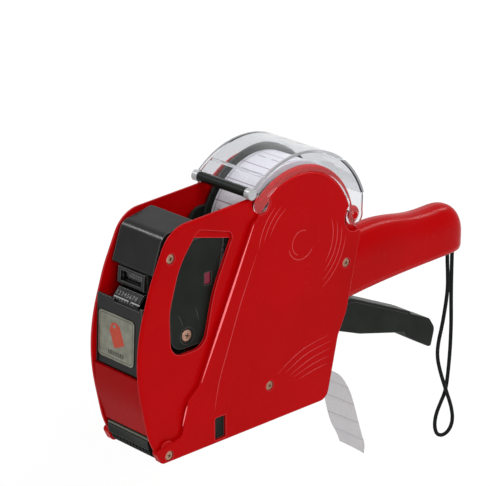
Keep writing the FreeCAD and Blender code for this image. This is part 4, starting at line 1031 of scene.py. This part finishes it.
def makeBandScale(values):
    matrix = faceFrame("front_plate", (-0.76, 0, 0.65))[0]
    shapes = []
    count = len(values["digits"])
    for number, digit in enumerate(values["digits"]):
        across = (number - (count - 1) / 2) * values["pitch"] + values["shift"]
        shape = makeDigit(digit, values["textSize"], values["raise"])
        shape.data.transform(Matrix.Translation((across, values["rise"], 0)))
        shapes.append(shape)
        size = (values["tickWidth"], values["tickHeight"], 2 * values["raise"])
        shapes.append(addBox("tick", size, (across, values["tickDrop"], 0)))
    printOn(joinPieces("bandScaleDigits", shapes), matrix, "white_paint", "number_rubber")


# a light grey line under the notch's edge: a painted highlight
notchHighlight = {
    "line": 0.00055,
    "raise": 0.00012,
    "edge": 0.6,  # share of the raise
    "spans": ((0.0040, -0.0062), (-0.0080, -0.0140)),  # along Y, with the pointer's gap between
    "below": 0.0003,  # under the edge of the notch
    "notch": 0.0014,  # the notch's edge under the top of the plate
}


def makeNotchHighlight(values):
    matrix = faceFrame("front_plate", (-1, 0, 0.05))[0]
    bars = []
    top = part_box("front_plate")[1].z
    up = matrix.to_3x3() @ Vector((0, 1, 0))
    level = (top - values["notch"] - matrix.translation.z) / up.z - values["below"] - values["line"] / 2
    for first, last in values["spans"]:
        middle = -(first + last) / 2 + matrix.translation.y
        size = (abs(first - last), values["line"], 2 * values["raise"])
        bar = addBox("notchHighlightBar", size, (middle, level, 0))
        editMode()
        pickAll()
        bevelPicked(values["raise"] * values["edge"], 2)
        objectMode()
        bars.append(bar)
    printOn(joinPieces("notchHighlight", bars), matrix, "highlight_grey_paint", "black_gloss")


makeBandScale(bandScale)
makeNotchHighlight(notchHighlight)
print("digits painted")

# small moulded parts

armTab = {
    "xs": (-0.1555, -0.1515),
    "zs": (0.0227, 0.0287),
    "inset": 0.0005,
    "thick": 0.0008,
    "rim": 0.0008,
    "dish": 0.0002,
    "edge": 0.00025,
}


def makeArmTabs(values):
    for side, node in (("Left", "swing_arm_left"), ("Right", "swing_arm_right")):
        low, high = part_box(node)
        outer, sign = (low.y, 1) if side == "Left" else (high.y, -1)
        middle = outer + sign * (values["inset"] + values["thick"] / 2)
        size = (values["xs"][1] - values["xs"][0], values["thick"], values["zs"][1] - values["zs"][0])
        tab = addBox("armTab" + side, size, (sum(values["xs"]) / 2, middle, sum(values["zs"]) / 2))
        editMode()
        pickFacing(y=-sign)
        insetPicked(values["rim"], 0, sign * values["dish"], 0)
        pickSharp()
        bevelPicked(values["edge"], 2)
        objectMode()
        # the tab is casing red, darkened by painted shade
        finishPiece(tab, "swing_arm", "red_casing", finish=paints["tab_red_shaded"])


rollerGuard = {
    "lip": {"xs": (-0.1908, -0.1884), "zs": (-0.047, -0.045), "half": 0.0146,
            "edge": 0.0005, "lean": 0.0004},
    "plate": {"xs": (-0.191, -0.1902), "zs": (-0.0512, -0.0464), "half": 0.0143,
              "edge": 0.0003, "lean": 0.0006},
}
guardFace = (1.6, 0.4)  # how far its inset goes in and back, as shares of the edge


def makeRollerGuard(values):
    parts = []
    for name, bar in values.items():
        size = (bar["xs"][1] - bar["xs"][0], 2 * bar["half"], bar["zs"][1] - bar["zs"][0])
        part = addBox("guard" + name.capitalize(), size, (sum(bar["xs"]) / 2, 0, sum(bar["zs"]) / 2))
        editMode()
        pickFacing(z=-1)
        bpy.ops.transform.translate(value=(bar["lean"], 0, 0))
        pickFacing(x=-1)
        insetPicked(bar["edge"] * guardFace[0], bar["edge"] * guardFace[1], 0, 0)
        pickSharp()
        bevelPicked(bar["edge"], 3)
        objectMode()
        parts.append(part)
    # the lip's grey top is a painted highlight on the black guard
    parts[0].data.materials.append(paints["lip_highlight_grey"])
    parts[1].data.materials.append(finishes["black_satin"])
    finishPiece(joinPieces("rollerGuard", parts), "casing", "black_satin")


makeArmTabs(armTab)
makeRollerGuard(rollerGuard)

# shallow lines moulded in the side panels, coloured lighter as painted highlights

# the moulded lines are real, their lighter pink is a faint painted highlight
panelLines = {
    "paint": "relief_red_highlight", "slot": "red_casing", "body": "casing", "nodes": ("left_shell", "right_shell"),
    "width": 0.00026,
    "proud": 0.00018,
    "lines": (
        ((-0.1262, 0.032), (-0.133, 0.018), (-0.1384, 0.006), (-0.1428, -0.006), (-0.1492, -0.0218),
         (-0.152, -0.031), (-0.1536, -0.041)),
        ((-0.1123, -0.0342), (-0.1037, -0.0287), (-0.0908, -0.0244), (-0.0775, -0.0236)),
        ((-0.107, -0.035), (-0.098, -0.0305), (-0.088, -0.0278), (-0.0756, -0.0272)),
        ((-0.104, -0.0372), (-0.095, -0.0338), (-0.086, -0.0316), (-0.0762, -0.0309)),
        ((-0.1011, -0.0389), (-0.093, -0.0366), (-0.085, -0.0352), (-0.0772, -0.0348)),
        ((-0.098, -0.0412), (-0.091, -0.0396), (-0.084, -0.0388), (-0.0784, -0.0385)),
    ),
    "arcs": (  # radius, first and last angle round the dome, in degrees
        (0.0305, -62, -8), (0.0275, -58, 4), (0.0245, -50, 12), (0.0215, -40, 20),
        (0.0285, 128, 172), (0.0255, 122, 165), (0.0225, 118, 158),
        (0.0085, 190, 330), (0.0062, 60, 250),
    ),
    "arcCentre": (-0.0968, 0.03),
    "arcStep": 9,
}
# pale pink beads along the ridge's edge: a painted highlight
ridgeHighlightLines = {
    "paint": "edge_highlight_red", "slot": "red_casing", "body": "casing", "nodes": ("left_shell", "right_shell"),
    "width": 0.00068,
    "proud": 0.0003,
    "lines": (
        ((-0.1282, 0.047), (-0.14, 0.0222), (-0.152, -0.0029), (-0.1618, -0.0235)),
        ((-0.1708, -0.0325), (-0.1722, -0.036), (-0.1738, -0.042)),
    ),
    "arcs": (),
}
# lighter grey lines along the arm's step: a painted highlight
armHighlightLines = {
    "paint": "arm_highlight_grey", "slot": "black_satin", "body": "swing_arm",
    "nodes": ("swing_arm_left", "swing_arm_right"),
    "width": 0.00022,
    "proud": 0.00014,
    "lines": (
        ((-0.1717, 0.0121), (-0.1704, 0.009), (-0.169, 0.0058)),
        ((-0.1613, 0.0137), (-0.1603, 0.01), (-0.1592, 0.0064)),
    ),
    "arcs": (),
}
lineTip = 0.2  # how wide a line still is at its ends


def makeSideLines(name, values):
    # flattened beads on the outer faces of a left and a right node
    lines = list(values["lines"])
    for radius, first, last in values["arcs"]:
        count = max(4, round((last - first) / values["arcStep"]))
        angles = [math.radians(first + (last - first) * step / count) for step in range(count + 1)]
        middle = values["arcCentre"]
        lines.append([(middle[0] + radius * math.cos(angle), middle[1] + radius * math.sin(angle))
                      for angle in angles])
    left, right = values["nodes"]
    for side, face in (("Left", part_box(left)[0].y), ("Right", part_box(right)[1].y)):
        curve = startCurve(name + side, values["width"], 5, 2)
        curve.use_fill_caps = True
        for line in lines:
            spline = addSpline(curve, [(x, 0, z) for x, z in line])
            spline.points[0].radius = spline.points[-1].radius = lineTip
        focusOn(linkNew(name + side, curve))
        bpy.ops.object.convert(target="MESH")
        piece = startPiece(name + side)
        flatten = values["proud"] / values["width"]
        piece.data.transform(Matrix.Translation((0, face, 0)) @ Matrix.Diagonal((1, flatten, 1, 1)))
        finishPiece(piece, values["body"], values["slot"], finish=paints[values["paint"]])


makeSideLines("panelLines", panelLines)
makeSideLines("ridgeHighlightLines", ridgeHighlightLines)
makeSideLines("armHighlightLines", armHighlightLines)
print("small parts moulded")

# the end of the liner

linerTail = {
    "middle": (  # X and Z of its middle line
        (-0.077, -0.0484), (-0.0722, -0.0485), (-0.066, -0.0496), (-0.0602, -0.053),
        (-0.0556, -0.0585), (-0.0515, -0.0662), (-0.0484, -0.0752), (-0.0458, -0.084),
        (-0.043, -0.092), (-0.0398, -0.099), (-0.0386, -0.1046),
    ),
    "turns": (0, 0, 0, 0, 0, -1, -2, -3, -2, 3, 10),  # degrees about the upright
    "width": 0.0215,
    "length": 0.0755,
    "thick": 0.00014,
    "rows": 5,  # to each step of the middle line
    "columns": 10,
    "slant": -0.0016,  # how far the right edge's end lies above the left one's
    "slantRun": 6,  # the higher, the nearer to the end it begins
    "cup": 0.0004,
}


def curvePoint(values, place):
    # a smooth run through evenly counted values
    last = len(values) - 1
    index = min(int(place), last - 1)
    share = place - index
    a, b, c, d = [values[min(max(index + step, 0), last)] for step in (-1, 0, 1, 2)]
    return b + 0.5 * share * (c - a + share * (2 * a - 5 * b + 4 * c - d + share * (3 * (b - c) + d - a)))


def makeLinerTail(values):
    steps = (len(values["middle"]) - 1) * values["rows"]
    runs = (*zip(*values["middle"]), values["turns"])
    rows = []
    for step in range(steps + 1):
        x, z, turn = (curvePoint(numbers, step / values["rows"]) for numbers in runs)
        run = rows[-1][3] + math.hypot(x - rows[-1][0], z - rows[-1][1]) if rows else 0.0
        rows.append((x, z, math.radians(turn), run))
    points, maps = [], []
    for x, z, turn, run in rows:
        share = run / rows[-1][3]
        for column in range(values["columns"] + 1):
            side = (column / values["columns"] - 0.5) * values["width"]
            drop = values["slant"] * (side / values["width"]) * share ** values["slantRun"]
            cup = values["cup"] * (1 - (2 * side / values["width"]) ** 2) * share
            points.append((x + side * math.sin(turn) + cup, side * math.cos(turn), z + drop))
            maps.append((side, run - drop))
    wide = values["columns"] + 1
    corners = [row * wide + column for row in range(steps) for column in range(values["columns"])]
    faces = [(corner, corner + 1, corner + wide + 1, corner + wide) for corner in corners]
    mesh = bpy.data.meshes.new("linerTail")
    mesh.from_pydata(points, [], faces)
    layer = mesh.uv_layers.new(name="alongTail")
    for loop in mesh.loops:
        layer.data[loop.index].uv = maps[loop.vertex_index]
    tail = linkNew("linerTail", mesh)
    wall = tail.modifiers.new("thickness", "SOLIDIFY")
    wall.thickness = values["thick"]
    wall.offset = 0
    applyModifiers(tail)
    finishPiece(tail, "casing", "liner_paper", ["liner_tail"], finish=tailPaper)


tailPrint = {
    "fibre": 800.0,
    "fibreDepth": 0.00002,
    "cloud": 60.0,
    "paper": ((0.50, 0.49, 0.50), (0.56, 0.55, 0.56)),
    "worn": (0.40, 0.39, 0.41),
    "pitch": 0.0119,  # from label to label
    "cut": {"place": 0.5, "half": 0.022, "strength": 0.55, "tone": (0.20, 0.12, 0.17), "depth": 0.00006},
    "mark": {"place": 0.62, "half": 0.012, "strength": 0.4, "tone": (0.28, 0.26, 0.29), "reach": 0.0075},
}


def tailFinish(values):
    finish, tree, shader = startFinish("tail_paper")
    parts = splitPoint(tree, addNode(tree, "ShaderNodeTexCoord").outputs["UV"])
    fibre = addNoise(tree, pointOn(tree), values["fibre"], 6.0, 0.7)
    cloud = addNoise(tree, pointOn(tree), values["cloud"], 3.0, 0.6)
    base = mixColours(tree, spread(tree, fibre, 0.35, 0.65), *values["paper"])
    toned = mixColours(tree, spread(tree, cloud, 0.4, 0.7, 0.0, 0.35), base, values["worn"])
    share = reckon(tree, "FRACT", reckon(tree, "DIVIDE", parts[1], values["pitch"]))
    cut, mark = values["cut"], values["mark"]
    slit = reckon(tree, "COMPARE", share, cut["place"], cut["half"])
    drawn = mixColours(tree, reckon(tree, "MULTIPLY", slit, cut["strength"]), toned, cut["tone"])
    dash = reckon(tree, "MULTIPLY", reckon(tree, "COMPARE", share, mark["place"], mark["half"]),
                  reckon(tree, "LESS_THAN", reckon(tree, "ABSOLUTE", parts[0]), mark["reach"]))
    marked = mixColours(tree, reckon(tree, "MULTIPLY", dash, mark["strength"]), drawn, mark["tone"])
    slits = addBump(tree, slit, cut["depth"], 0.6)
    fibres = addBump(tree, fibre, values["fibreDepth"], 0.4, slits)
    layOn(tree, shader, marked, rough=0.5, normal=fibres, gloss=0.35)
    return finish


tailPaper = tailFinish(tailPrint)
makeLinerTail(linerTail)
print("liner tail hung")
